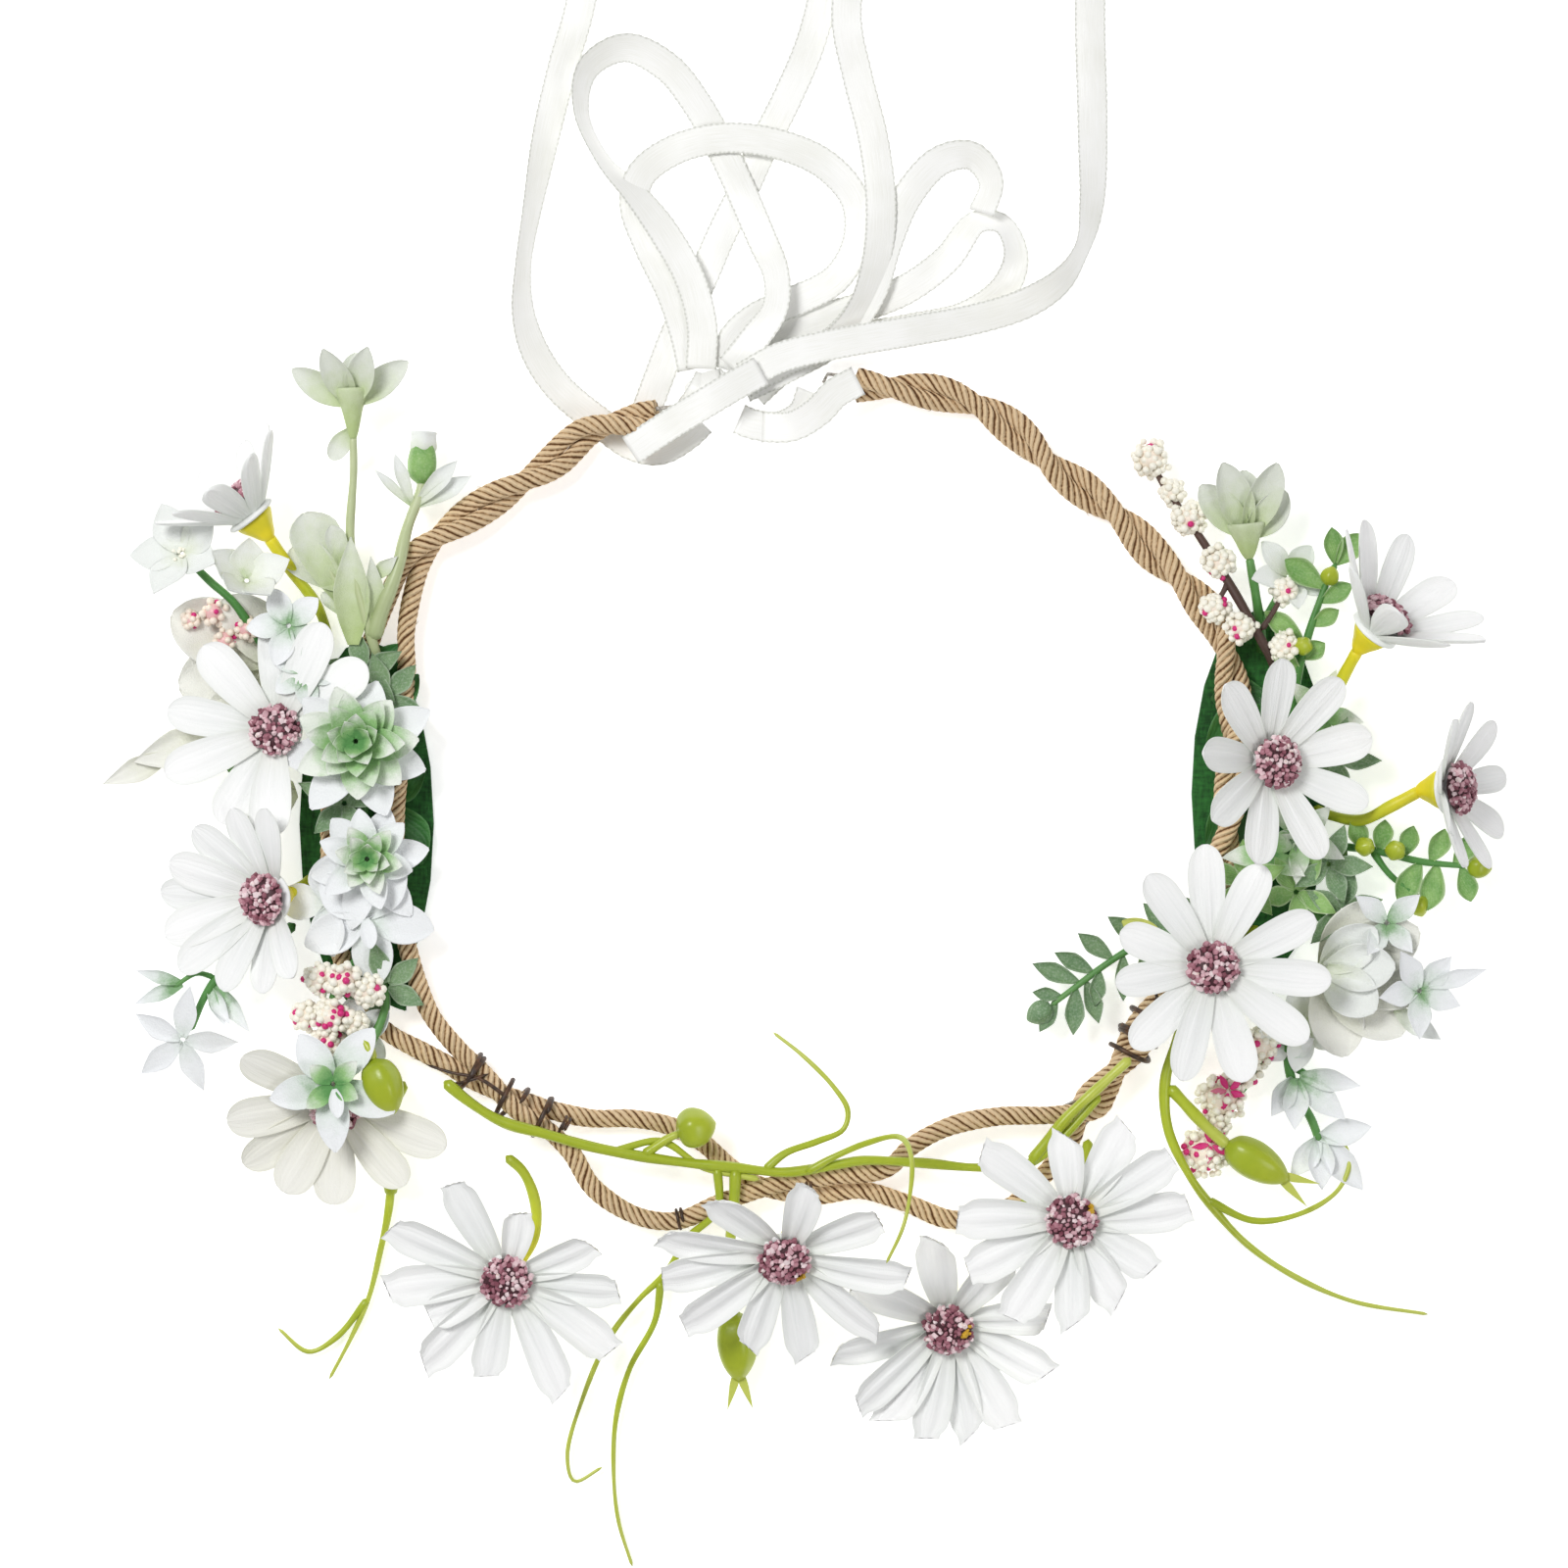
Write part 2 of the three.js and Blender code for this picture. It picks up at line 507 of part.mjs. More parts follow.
function addLeftTendril() {
  const main = [[-88.5, -61, 4.5], [-92, -69, 3.5], [-91.5, -79, 3], [-92, -88, 2.6], [-94, -98, 2.2],
    [-96.5, -108, 2], [-100, -116, 1.8], [-105, -125.5, 1.6]];
  const branch = [[-96.5, -108, 2], [-103.5, -116.5, 2.2], [-109.5, -119.5, 2.2], [-116, -114.5, 2]];
  add('left_tendril', join([
    tube(main, VINE_RADIUS, 10),
    tube(branch, TENDRIL_RADIUS),
    ball([-90, -61.5, 5], 3.4),
  ]), vineGreen);
}

function addRightTendril() {
  const main = [[80, -46, VINE_Z], [77.5, -52, VINE_Z], [75, -60, VINE_Z], [75.5, -70.5, VINE_Z],
    [80, -80.5, VINE_Z], [85.5, -88, 9], [92.5, -95.5, 7], [102.5, -102.5, 5], [116, -108.5, 3],
    [132.5, -111.5, 1.6]];
  const curl = [[84, -86, 9.6], [94, -90.5, 9], [104.5, -89, 8], [112.5, -84, 7], [115, -77.5, 6],
    [112, -71, 5]];
  const budStem = [[75.6, -61.5, VINE_Z], [83, -69.5, 11.5], [91, -75.5, 10.5], [94, -78, 10.5]];
  add('right_tendril', join([
    tube(main, VINE_RADIUS, 10),
    tube(curl, TENDRIL_RADIUS),
    tube(budStem, TENDRIL_RADIUS),
    ball([96.5, -79.5, 10.5], 4.4),
  ]), vineGreen);
}

addFrontVine();
addLeftTendril();
addRightTendril();

// ---------------------------------------------------------------- left cluster sprays
// A round or open flower head on its own twig: a star of leaves above a short neck.
function starHead(centre, petals, width, tilt = [0, 0], cup = 8) {
  const axis = new THREE.Vector3(tilt[0], tilt[1], 1).normalize();
  return star(petals, width, LEAF_THICKNESS, { cup, hub: 3.4 }).applyMatrix4(seat(vec(centre), axis));
}

// A rosette with a domed top.
function rosette(centre, radius, height) {
  const p = vec(centre);
  const profile = [[0, height], [radius * 0.45, height * 0.9], [radius, height * 0.45],
    [radius * 0.55, 0], [0, 0]];
  return lathe(profile, 10).translate(p.x, p.y, p.z);
}

function addFlockedSpray() {
  const runner = [[-96.5, 17, 4.2], [-97, 4, 4.2], [-97.5, -12, 4.2], [-96.5, -28, 4.2],
    [-93.5, -38, 5.5], [-92.2, -44.5, 9.8], [-95, -52, 11.5], [-99.5, -58, 14.5],
    [-101.8, -60.8, 18.8]];
  add('flocked_spray', join([
    tube(runner, TWIG_RADIUS),
    tube([[-97, 11.6, 4.2], [-97, 11.6, 9], [-97, 11.6, 15.5]], TWIG_RADIUS),
    rosette([-97, 11.6, 15], 13, 9),
    tube([[-97, -13.7, 4.2], [-96, -13.7, 9], [-95.3, -13.7, 14.5]], TWIG_RADIUS),
    rosette([-95.3, -13.7, 14], 10, 7),
    tube([[-97, -25, 4.2], [-96.8, -25, 7], [-96, -25, 10.5]], TWIG_RADIUS),
    starHead([-96, -25, 10], [[138, 12], [205, 12], [300, 12], [5, 13], [72, 12]], 8, [0, 0], 0),
    starHead([-102.3, -61.5, 18.4], evenPetals(5, 14, 50), 9),
  ]), flockedGreen);
}

function addTrumpetSpray() {
  const trunk = [[-93.6, 26, 4.2], [-94, 29.5, 7], [-95.5, 36, 10], [-99.5, 53.5, 10.5],
    [-98.8, 70, 11.5], [-98.8, 78, 12]];
  const budStem = [[-95, 34, 9.4], [-92.6, 41, 10.8], [-89.5, 49, 11.4], [-87.5, 58, 9.5],
    [-84.8, 66, 8], [-84.2, 70, 8]];
  const bell = lathe([[0, -2], [1.6, -2], [3.2, 5], [10.5, 15], [10.5, 16], [0, 9]], 8);
  const axis = new THREE.Vector3(-0.05, 1, 0.08).normalize();
  add('trumpet_spray', join([
    tube(trunk, TWIG_RADIUS),
    bell.applyMatrix4(seat(vec([-98.8, 78, 12]), axis)),
    tube(budStem, TWIG_RADIUS),
    ball([-84, 72, 8], 3.2),
    leaf([-99.2, 56, 10.6], [-109, 67, 8], 6),
    leaf([-99.4, 50, 10.4], [-108, 55, 7.5], 6),
  ]), flockedGreen);
}

function addLeftBerries() {
  add('berry_spray_left', join([
    tube([[-97.5, -33, ROOT_Z + 4.2], [-99.5, -36, 9], [-102, -39.5, 13], [-103.6, -45, 13],
      [-104.5, -49, 12.4]], TWIG_RADIUS),
    ball([-102.5, -40, 15], 6.2),
    ball([-104.5, -49, 12.4], 5.4),
  ]), berryIvory);
}

function addOuterSprig() {
  const trunk = [[-109.2, 22, ROOT_Z], [-114, 27, 4.4], [-119, 33.6, 6], [-124.5, 42, 7],
    [-129.5, 46.5, 8], [-134.5, 51.5, 9.5]];
  add('blossom_sprig_left', join([
    tube(trunk, TWIG_RADIUS),
    starHead([-135, 52.5, 9.4], evenPetals(5, 9.5, 100), 6),
    leaf([-123, 39, 6.6], [-113.5, 45, 6.4], 7),
    leaf([-118, 32.6, 5.6], [-138, 34, 6], 10),
    leaf([-116, 29, 5], [-137, 22.5, 5], 10),
    leaf([-113.6, 26.6, 4.4], [-152.5, 4, 3.4], 7),
    ball([-127, 40, 6.6], 3.6),
  ]), blossomWhite);
}

addFlockedSpray();
addTrumpetSpray();
addLeftBerries();
addOuterSprig();

// ---------------------------------------------------------------- right cluster sprays
function addBoxwoodSpray() {
  const rising = [[103.4, 0, ROOT_Z + 0.4], [103, 12, 4.4], [103.2, 24, 8], [105.5, 34.5, 10],
    [109, 45, 11], [111.5, 50.5, 11]];
  const reaching = [[103.4, 1.5, ROOT_Z + 0.4], [104.5, -7.5, 5], [112, -10, 6.5], [119.5, -11, 8],
    [130, -13.5, 8.5], [140, -14.5, 8.5]];
  add('boxwood_spray', join([
    tube(rising, TWIG_RADIUS),
    tube(reaching, TWIG_RADIUS),
    leaf([105, 33, 9.8], [96, 40, 10.5], 4.5),
    leaf([109, 45, 11], [100.5, 51, 10], 5),
    leaf([111.3, 50, 11], [116.5, 56, 11], 5),
    leaf([130, -13.5, 8.5], [124.5, -24, 7.5], 5),
    leaf([133.5, -13.8, 8.5], [131, -26, 7.5], 5),
    ball([141.5, -14.6, 8.5], 2.6),
  ]), leafGreen);
}

function addEucalyptus() {
  const trunk = [[90, -21.5, BAND_TOP + GAP + TWIG_RADIUS + 0.6], [84.5, -25, 11.4], [78.5, -28.5, 11.2],
    [69, -31.5, 9.5], [62.5, -35.5, 8.5], [56.5, -40, 8], [50.5, -44.5, 7.6]];
  add('eucalyptus_sprig', join([
    tube(trunk, TWIG_RADIUS),
    leaf([77, -29, 10.8], [68, -20.5, 9.5], 5),
    leaf([64, -34.6, 8.6], [54, -27.5, 8], 5),
    leaf([57, -39.6, 8], [44, -34.5, 7.2], 5),
    leaf([66, -33.2, 9], [66, -46.5, 7.4], 4.5),
    leaf([58, -38.8, 8.1], [62, -51, 7], 5),
    leaf([56, -40.2, 8], [55, -54, 7], 5.5),
    ball([49, -45.5, 7.6], 3),
  ]), leafGreen);
}

function addHydrangea() {
  const trunk = [[101.5, -17.5, ROOT_Z], [106, -22.5, 5.5], [112, -29, 8], [117, -35.5, 10.6]];
  add('hydrangea_flower', join([
    tube(trunk, TWIG_RADIUS),
    rosette([117.2, -36.8, 10], 12, 5.5),
    leaf([118, -37, 12], [137, -29.5, 8], 8),
    leaf([118, -37, 12], [135, -50, 8], 8),
  ]), blossomWhite);
}

function addBellFlower() {
  const trunk = [[96.6, 31, ROOT_Z], [95.8, 37, 6], [94.5, 44, 8.6], [93, 51, 9.6]];
  const bell = lathe([[0, -2], [1.6, -2], [3, 4], [8.5, 14], [8.5, 15], [0, 8]], 8);
  const axis = new THREE.Vector3(-0.2, 1, 0.05).normalize();
  add('bell_flower', join([
    tube(trunk, TWIG_RADIUS),
    bell.applyMatrix4(seat(vec([93, 52, 9.8]), axis)),
  ]), blossomWhite);
}

function addBeadSpray() {
  const trunk = [[99.5, 23, ROOT_Z], [98.4, 28.5, 8.6], [94.2, 36, 12], [88.4, 46.5, 10.5],
    [82, 57, 8.5], [75.5, 66.5, 7], [73, 71, 6.5]];
  add('bead_spray', join([
    tube(trunk, TWIG_RADIUS),
    ball([72, 72.8, 6.4], 5),
    ball([80.5, 59.4, 9], 4.4),
    ball([87.2, 49.4, 11], 4.4),
  ]), berryIvory);
}

function addRightBerries() {
  const trunk = [[98.5, -32, ROOT_Z], [97.5, -45, 4.8], [95, -57.8, 6], [89.5, -66, 5.4],
    [85, -74, 4.8]];
  add('berry_spray_right', join([
    tube(trunk, TWIG_RADIUS),
    ball([95, -57.8, 6.4], 4.6),
    ball([89, -66.4, 5.4], 4),
    ball([84.2, -76.5, 4.8], 3.8),
  ]), berryIvory);
}

addBoxwoodSpray();
addEucalyptus();
addHydrangea();
addBellFlower();
addBeadSpray();
addRightBerries();

// ---------------------------------------------------------------- ribbon
const layer = (n) => 0.8 + n * RIBBON_LAYER;
const knotCentre = [-22.4, 88];

function addKnot() {
  const [length, width, height] = KNOT_SIZE;
  const shape = new THREE.Shape(polygon(length / 2 / Math.cos(Math.PI / 8),
    width / 2 / Math.cos(Math.PI / 8), 8));
  const p = vec([...knotCentre, GAP]);
  const block = new THREE.ExtrudeGeometry(shape, { depth: height, bevelEnabled: false });
  add('ribbon_knot', block.translate(p.x, p.y, p.z), satin);
}

// The last entry of each point is its height; the route runs from the knot or the band outwards.
const ribbons = {
  ribbon_tail_left: [[-24.6, 81.4, 3.2], [-27.8, 78.4, 2.6], [-33.5, 75.4, 1.6], [-39.5, 76.4, 0.8],
    [-46, 81, 0.8], [-55.5, 89, 0.8], [-60.5, 96.5, 1.4], [-63, 105, 2.6], [-63, 114.5, 3.6], [-61, 128, 3.6],
    [-58, 144, 2.4], [-54.5, 158.5, 1.4], [-51, 171, 0.8], [-48, 190, 0.8], [-47, 215, 0.8],
    [-49, 238, 0.8]],
  ribbon_tail_second: [[-36.5, 84, 0.8], [-33.5, 92, 0.8], [-30, 101, 0.8], [-24.6, 112, 0.8],
    [-20.4, 121.8, 0.8], [-15.6, 131.5, 0.8], [-10.9, 141.8, 0.8], [-5.7, 152.3, 0.8],
    [-0.8, 164, 0.8], [2.4, 178, 0.8], [3, 200, 0.8], [1, 228, 0.8]],
  ribbon_tail_third: [[-15.4, 89.4, layer(4)], [-6, 94.5, layer(4)], [4, 98.5, layer(4)],
    [9.8, 106, layer(4)], [13.2, 116, layer(4)], [14.2, 127, layer(4)], [12.6, 141.8, layer(3)],
    [9, 156.5, layer(2)], [6.8, 168, layer(2)], [8.5, 184, layer(1)], [14, 205, 0.8], [21, 230, 0.8]],
  ribbon_tail_right: [[-15.4, 90.6, layer(6)], [-8, 94.6, layer(6)], [3.8, 97.6, layer(6)],
    [20.6, 100.6, layer(5)], [35.3, 103.6, layer(3)], [45.8, 107, 4.2], [53, 111.7, 4.4], [57.3, 118.2, 4],
    [59.6, 128, 2.6], [60, 146, 1.2], [59.5, 171, 0.8], [60.5, 196, 0.8], [64, 226, 0.8]],
  ribbon_loop_upper: [[-24.6, 92.7, layer(3)], [-24.4, 102, layer(3)], [-27, 112, layer(3)], [-32.5, 122, layer(3)],
    [-38.5, 130, 4.2], [-45.5, 137.5, 4.2], [-50.4, 148, 4.2], [-49, 157.5, 4.2],
    [-41, 162, 4], [-32, 158, 3], [-25.5, 150, 2.2], [-20.5, 141, layer(1)], [-15.6, 130.5, layer(1)],
    [-11.6, 121, 3.4], [-8.4, 113, layer(4)], [-8.6, 105.5, layer(5)], [-13, 99, layer(5)],
    [-18, 92.7, layer(5)]],
  ribbon_loop_arch: [[-26.4, 92.7, layer(2)], [-28, 100, layer(2)], [-31, 109, layer(2)], [-36, 119.5, layer(2)],
    [-39, 128, layer(2)], [-37.6, 134.6, layer(2)], [-30.5, 140, layer(2)], [-20, 142.6, layer(2)],
    [-8.5, 141.4, layer(2)], [2, 137, layer(2)], [8.5, 129.5, layer(2)], [9, 120.5, layer(2)],
    [4.6, 112.4, layer(2)], [-4, 107.6, layer(2)], [-12.5, 104, layer(2)], [-17.5, 99.5, layer(2)],
    [-19.6, 92.7, layer(2)]],
  ribbon_loop_right: [[-15.4, 88.6, layer(3)], [-6, 93, layer(3)], [5, 99.5, layer(3)], [12, 109, layer(3)],
    [15.6, 120, layer(3)], [20, 130, layer(3)], [27, 137.6, layer(3)], [34, 138.6, layer(3)],
    [38, 133, layer(3)], [36, 126.4, layer(3)]],
  ribbon_loop_outer: [[-13.2, 87.6, layer(0)], [-7, 93, layer(0)], [4, 98.5, layer(0)], [20, 101.6, layer(0)],
    [33, 104.6, layer(0)], [41, 110.4, 1.4], [43.4, 117.6, 2.4], [40.5, 124, 2.6], [35, 124.5, 2.4],
    [28.5, 116.6, layer(1)], [19.5, 110, layer(1)], [8, 105.6, layer(1)], [-3.5, 102.4, layer(1)],
    [-12, 97, layer(1)], [-15.4, 91.4, layer(1)]],
  ribbon_link: [[-16.4, 82, layer(2)], [-13.4, 80.8, layer(2)], [-7.6, 80.4, layer(2)],
    [-2.8, 83, layer(3)], [-0.8, 87.6, BAND_Z]],
};

function addRibbons() {
  const section = polygon(RIBBON_THICKNESS / 2, RIBBON_WIDTH / 2 / Math.cos(Math.PI / 8), 8);
  for (const [name, route] of Object.entries(ribbons)) {
    const step = name.includes('tail') ? 13 : 9.5;
    add(name, sweep(smooth(route, step), section), satin);
    cordNames.push(name);
  }
}

addKnot();
addRibbons();

// ---------------------------------------------------------------- origin under the crown's middle
function footprintMiddle() {
  crown.updateMatrixWorld(true);
  const box = new THREE.Box3();
  crown.traverse((node) => {
    if (node.isMesh && !cordNames.includes(node.name)) box.expandByObject(node, true);
  });
  return box.getCenter(new THREE.Vector3());
}

const middle = footprintMiddle();
crown.position.set(-middle.x, -middle.y, 0);

const group = new THREE.Group();
group.add(crown);

export default group;
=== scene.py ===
"""A flower crown lying flat: twine band, fabric daisies, sprays, vine tendrils and satin ribbon.

Shapes are worked out in millimetres in the crown's own frame, whose origin is the middle of the
twine ring, and are put into the row frame by `Plan`.
"""
import logging
import math
from dataclasses import dataclass, field
from enum import Enum
from typing import Mapping, Sequence

import bpy
import numpy as np
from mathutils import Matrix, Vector


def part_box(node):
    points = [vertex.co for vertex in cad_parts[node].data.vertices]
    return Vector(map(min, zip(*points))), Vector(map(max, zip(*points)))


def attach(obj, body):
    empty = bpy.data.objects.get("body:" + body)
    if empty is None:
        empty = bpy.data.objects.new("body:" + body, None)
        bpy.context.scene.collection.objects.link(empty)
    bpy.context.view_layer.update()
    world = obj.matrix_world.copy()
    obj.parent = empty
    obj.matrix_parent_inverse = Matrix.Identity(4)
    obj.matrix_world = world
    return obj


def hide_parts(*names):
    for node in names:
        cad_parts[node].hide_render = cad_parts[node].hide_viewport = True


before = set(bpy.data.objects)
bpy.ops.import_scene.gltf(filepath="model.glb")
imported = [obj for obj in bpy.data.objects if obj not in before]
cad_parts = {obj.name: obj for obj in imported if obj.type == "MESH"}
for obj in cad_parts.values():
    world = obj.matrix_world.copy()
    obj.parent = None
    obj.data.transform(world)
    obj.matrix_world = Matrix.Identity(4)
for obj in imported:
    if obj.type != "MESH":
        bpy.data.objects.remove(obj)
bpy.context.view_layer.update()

log = logging.getLogger("flower_crown")

Array = np.ndarray
Colour = tuple[float, float, float]
Spot = Sequence[float]
Route = Sequence[Sequence[float]]
Trace = tuple[tuple[float, float], ...]
Material = bpy.types.Material

MM = 0.001
PAD_LEFT_CENTRE = (-97.0, -5.5)  # of the left felt pad, in the crown's own frame
PAD_THICKNESS = 1.5
GAP = 0.3
TWINE_RADIUS = 1.65
TWIST_CLEARANCE = 0.3
TWIST_PITCH = 40.0
PLIES = 6
PLY_PITCH = 10.5  # one turn of a thread round its strand
TWIST_RADIUS = (TWINE_RADIUS + TWIST_CLEARANCE / 2) / math.cos(math.pi / 8)
BAND_RADIUS = TWIST_RADIUS + TWINE_RADIUS
BAND_Z = PAD_THICKNESS + GAP + BAND_RADIUS
CROSSING_LIFT = TWINE_RADIUS + TWIST_CLEARANCE / 2
VINE_Z = BAND_Z + BAND_RADIUS + GAP + 1.2
ROOT_Z = PAD_THICKNESS + GAP + 1.1 + 0.2
UP = np.array([0.0, 0.0, 1.0])


# ---- number helpers
def unit(vectors: Array) -> Array:
    """The vectors at length one."""
    return vectors / np.linalg.norm(vectors, axis=-1, keepdims=True)


def srgb(code: int) -> Colour:
    """The scene-linear colour that a shader socket takes.

    Args:
        code: the display colour as 0xRRGGBB.

    Returns:
        Red, green and blue.
    """
    shares = np.array([code >> 16, code >> 8 & 255, code & 255]) / 255
    linear = np.where(shares <= 0.04045, shares / 12.92, ((shares + 0.055) / 1.055) ** 2.4)
    return tuple(float(value) for value in linear)


def spaced(line: Array, step: float) -> Array:
    """The line again with points `step` apart.

    Args:
        line: points, whose first three columns are a place and whose others are carried along.
        step: the distance between new points, along the line.

    Returns:
        The new points, the ends kept.
    """
    lengths = np.linalg.norm(np.diff(line[:, :3], axis=0), axis=1)
    along = np.concatenate([[0.0], np.cumsum(lengths)])
    count = max(2, round(along[-1] / step))
    at = np.linspace(0.0, along[-1], count + 1)
    return np.stack([np.interp(at, along, column) for column in line.T], axis=1)


def smooth(points: Route, step: float, samples: int = 24) -> Array:
    """A centripetal Catmull-Rom curve through the points, its points `step` apart.

    Each span is a cubic whose end slopes come from the neighbouring points, with the knots set
    apart by the square root of the distance between points.

    Args:
        points: the points it passes through, with any further columns carried along.
        step: the distance between the curve's points.
        samples: how finely each span is worked out first.

    Returns:
        The curve's points.
    """
    given = np.asarray(points, float)
    padded = np.vstack([2 * given[0] - given[1], given, 2 * given[-1] - given[-2]])
    knots = np.sqrt(np.linalg.norm(np.diff(padded[:, :3], axis=0), axis=1))[:, None]
    before, start, end, after = padded[:-3], padded[1:-2], padded[2:-1], padded[3:]
    k1, k2, k3 = knots[:-2], knots[1:-1], knots[2:]
    leave = ((start - before) / k1 - (end - before) / (k1 + k2) + (end - start) / k2) * k2
    arrive = ((end - start) / k2 - (after - start) / (k2 + k3) + (after - end) / k3) * k2
    t = np.linspace(0, 1, samples, endpoint=False)[None, :, None]
    a, b, c, d = (part[:, None] for part in (start, leave, end, arrive))
    curve = a + b * t + (3 * (c - a) - 2 * b - d) * t**2 + (2 * (a - c) + b + d) * t**3
    dense = np.vstack([curve.reshape(-1, given.shape[1]), given[-1]])
    return spaced(dense, step)


def directions(line: Array, top: Array | None = None) -> tuple[Array, Array, Array]:
    """The way along a line, and the two ways across it.

    Args:
        line: the points of the line.
        top: which way is up for the section; by default the axis least in line with the line.

    Returns:
        Unit vectors (along, side, over) at each point, right-handed as side, over, along.
    """
    along = unit(np.gradient(line[:, :3], axis=0))
    if top is None:
        choices = np.array([[0, 0, 1.0], [1.0, 0, 0.2], [0.2, 1.0, 0]])
        top = choices[np.argmin(np.abs(along @ unit(choices).T).max(axis=0))]
    side = unit(np.cross(top, along))
    return along, side, np.cross(along, side)


# ---- meshes
@dataclass
class Patch:
    """A closed surface and what its finish reads; tone is one number for each point."""

    points: Array
    quads: Array
    triangles: Array
    quad_uv: Array
    triangle_uv: Array
    tone: Array
    flat: bool = False

    def placed(self, origin: Spot, along: Array, over: Array) -> "Patch":
        """The patch with its own x, y, z turned to along, across and over, and moved to origin."""
        x = unit(np.asarray(along, float))
        y = unit(np.cross(over, x))
        turn = np.stack([x, y, np.cross(x, y)])
        return Patch(self.points @ turn + np.asarray(origin, float), self.quads, self.triangles,
                     self.quad_uv, self.triangle_uv, self.tone, self.flat)


def closed(grid: Array, across: Array, along: Array, tone: Array | float = 0.5) -> Patch:
    """A surface whose columns go round and whose first and last rows are closed by a fan.

    Args:
        grid: rows by columns of points; round, then along, is outwards.
        across: the texture place of each column, and of the first again.
        along: the texture place of each row.
        tone: one number for each point of the grid, or one for all.

    Returns:
        The closed patch.
    """
    rows, columns = grid.shape[:2]
    uv = np.stack(np.meshgrid(across, along), axis=-1)
    index = np.arange(rows * columns).reshape(rows, columns)
    after = np.roll(index, -1, axis=1)
    quads = np.stack([index[:-1], after[:-1], after[1:], index[1:]], axis=-1).reshape(-1, 4)
    quad_uv = np.stack([uv[:-1, :-1], uv[:-1, 1:], uv[1:, 1:], uv[1:, :-1]], axis=2)
    first = np.full(columns, rows * columns)
    triangles = np.vstack([np.stack([after[0], index[0], first], axis=1),
                           np.stack([index[-1], after[-1], first + 1], axis=1)])
    middle = [np.broadcast_to(uv[row].mean(axis=0), (columns, 2)) for row in (0, -1)]
    triangle_uv = np.concatenate([np.stack([uv[0, 1:], uv[0, :-1], middle[0]], axis=1),
                                  np.stack([uv[-1, :-1], uv[-1, 1:], middle[1]], axis=1)])
    tones = np.broadcast_to(tone, (rows, columns)).astype(float)
    ends = [tones[0].mean(), tones[-1].mean()]
    points = np.vstack([grid.reshape(-1, 3), grid[0].mean(axis=0), grid[-1].mean(axis=0)])
    return Patch(points, quads, triangles, quad_uv.reshape(-1, 4, 2), triangle_uv,
                 np.concatenate([tones.ravel(), ends]))


def tube(line: Array, radius: Array | float, sides: int = 10, tone: Array | float = 0.5,
         rounded: bool = True) -> Patch:
    """A round section carried along a line.

    Each point is the line's point plus radius times (cos a side + sin a over). A rounded end
    shrinks over its last radius as a quarter circle does.

    Args:
        line: the points it follows.
        radius: one for all, or one for each point, or points by sides.
        sides: how many points go round.
        tone: one number for all, or one for each point of the line.
        rounded: whether its ends are rounded.

    Returns:
        The closed tube, its uv being (round, millimetres along / 10).
    """
    _, side, over = directions(line)
    steps = np.linalg.norm(np.diff(line[:, :3], axis=0), axis=1)
    along = np.concatenate([[0.0], np.cumsum(steps)])
    radii = np.asarray(radius, float)
    radii = radii[:, None] if radii.ndim == 1 else radii
    radii = np.broadcast_to(radii, (len(line), sides)).copy()
    if rounded:
        reach = np.maximum(radii.mean(axis=1), 1e-3)
        near = np.minimum(along, along[-1] - along) / reach
        radii *= np.sqrt(np.clip(1 - (1 - np.clip(near, 0, 1)) ** 2, 0.04, 1))[:, None]
    angle = 2 * np.pi * np.arange(sides) / sides
    ring = np.cos(angle)[None, :, None] * side[:, None] + np.sin(angle)[None, :, None] * over[:, None]
    grid = line[:, None, :3] + radii[..., None] * ring
    tones = np.asarray(tone, float)
    tones = tones[:, None] if tones.ndim == 1 else tones
    return closed(grid, np.linspace(0, 1, sides + 1), along / 10, tones)


def twig(points: Route, start: float, end: float | None = None,
         step: float = 1.2, sides: int = 8, tones: tuple[float, float] = (0.0, 1.0),
         swell: float = 0.0) -> Patch:
    """A tapering tube along a smooth curve; its tone runs from its start to its end.

    Args:
        points: what the curve passes through.
        start: the radius there; end is the radius at the other end, by default the same.
        step: between the curve's points.
        sides: round the tube.
        tones: the tone at the two ends.
        swell: a share of the radius by which slow waves thicken and thin it.

    Returns:
        The closed twig.
    """
    line = smooth(points, step)
    share = np.linspace(0, 1, len(line))
    radius = start + ((start if end is None else end) - start) * share
    wave = np.sin(share * len(line) * step * 0.35 + start) * np.sin(share * 9 + 1)
    tone = tones[0] + (tones[1] - tones[0]) * share
    return tube(line, radius * (1 + swell * wave), sides, tone)


def lathe(profile: Route, segments: int = 20, step: float = 0.4,
          lobes: int = 0, depth: float = 0.0) -> Patch:
    """A profile of (radius, height) turned about its own x axis, from its foot to its top.

    Args:
        profile: (radius, height) pairs, smoothed by a curve through them.
        segments: round the axis.
        step: between rows.
        lobes: how many lobes go round, their radius being 1 + depth cos(lobes angle).
        depth: how deep the lobes are, as a share.

    Returns:
        The closed patch, lying along x, whose uv is (round, share along).
    """
    rows = smooth([(r, 0.0, h) for r, h in profile], step)
    radius = np.maximum(rows[:, 0], 0.02)
    angle = 2 * np.pi * np.arange(segments) / segments
    wavy = 1 + depth * np.cos(lobes * angle)[None, :] * np.ones((len(rows), 1))
    grid = np.stack([np.repeat(rows[:, 2:3], segments, axis=1),
                     radius[:, None] * np.cos(angle) * wavy, radius[:, None] * np.sin(angle) * wavy],
                    axis=-1)
    share = np.linspace(0, 1, len(rows))
    return closed(grid, np.linspace(0, 1, segments + 1), share, share[:, None])


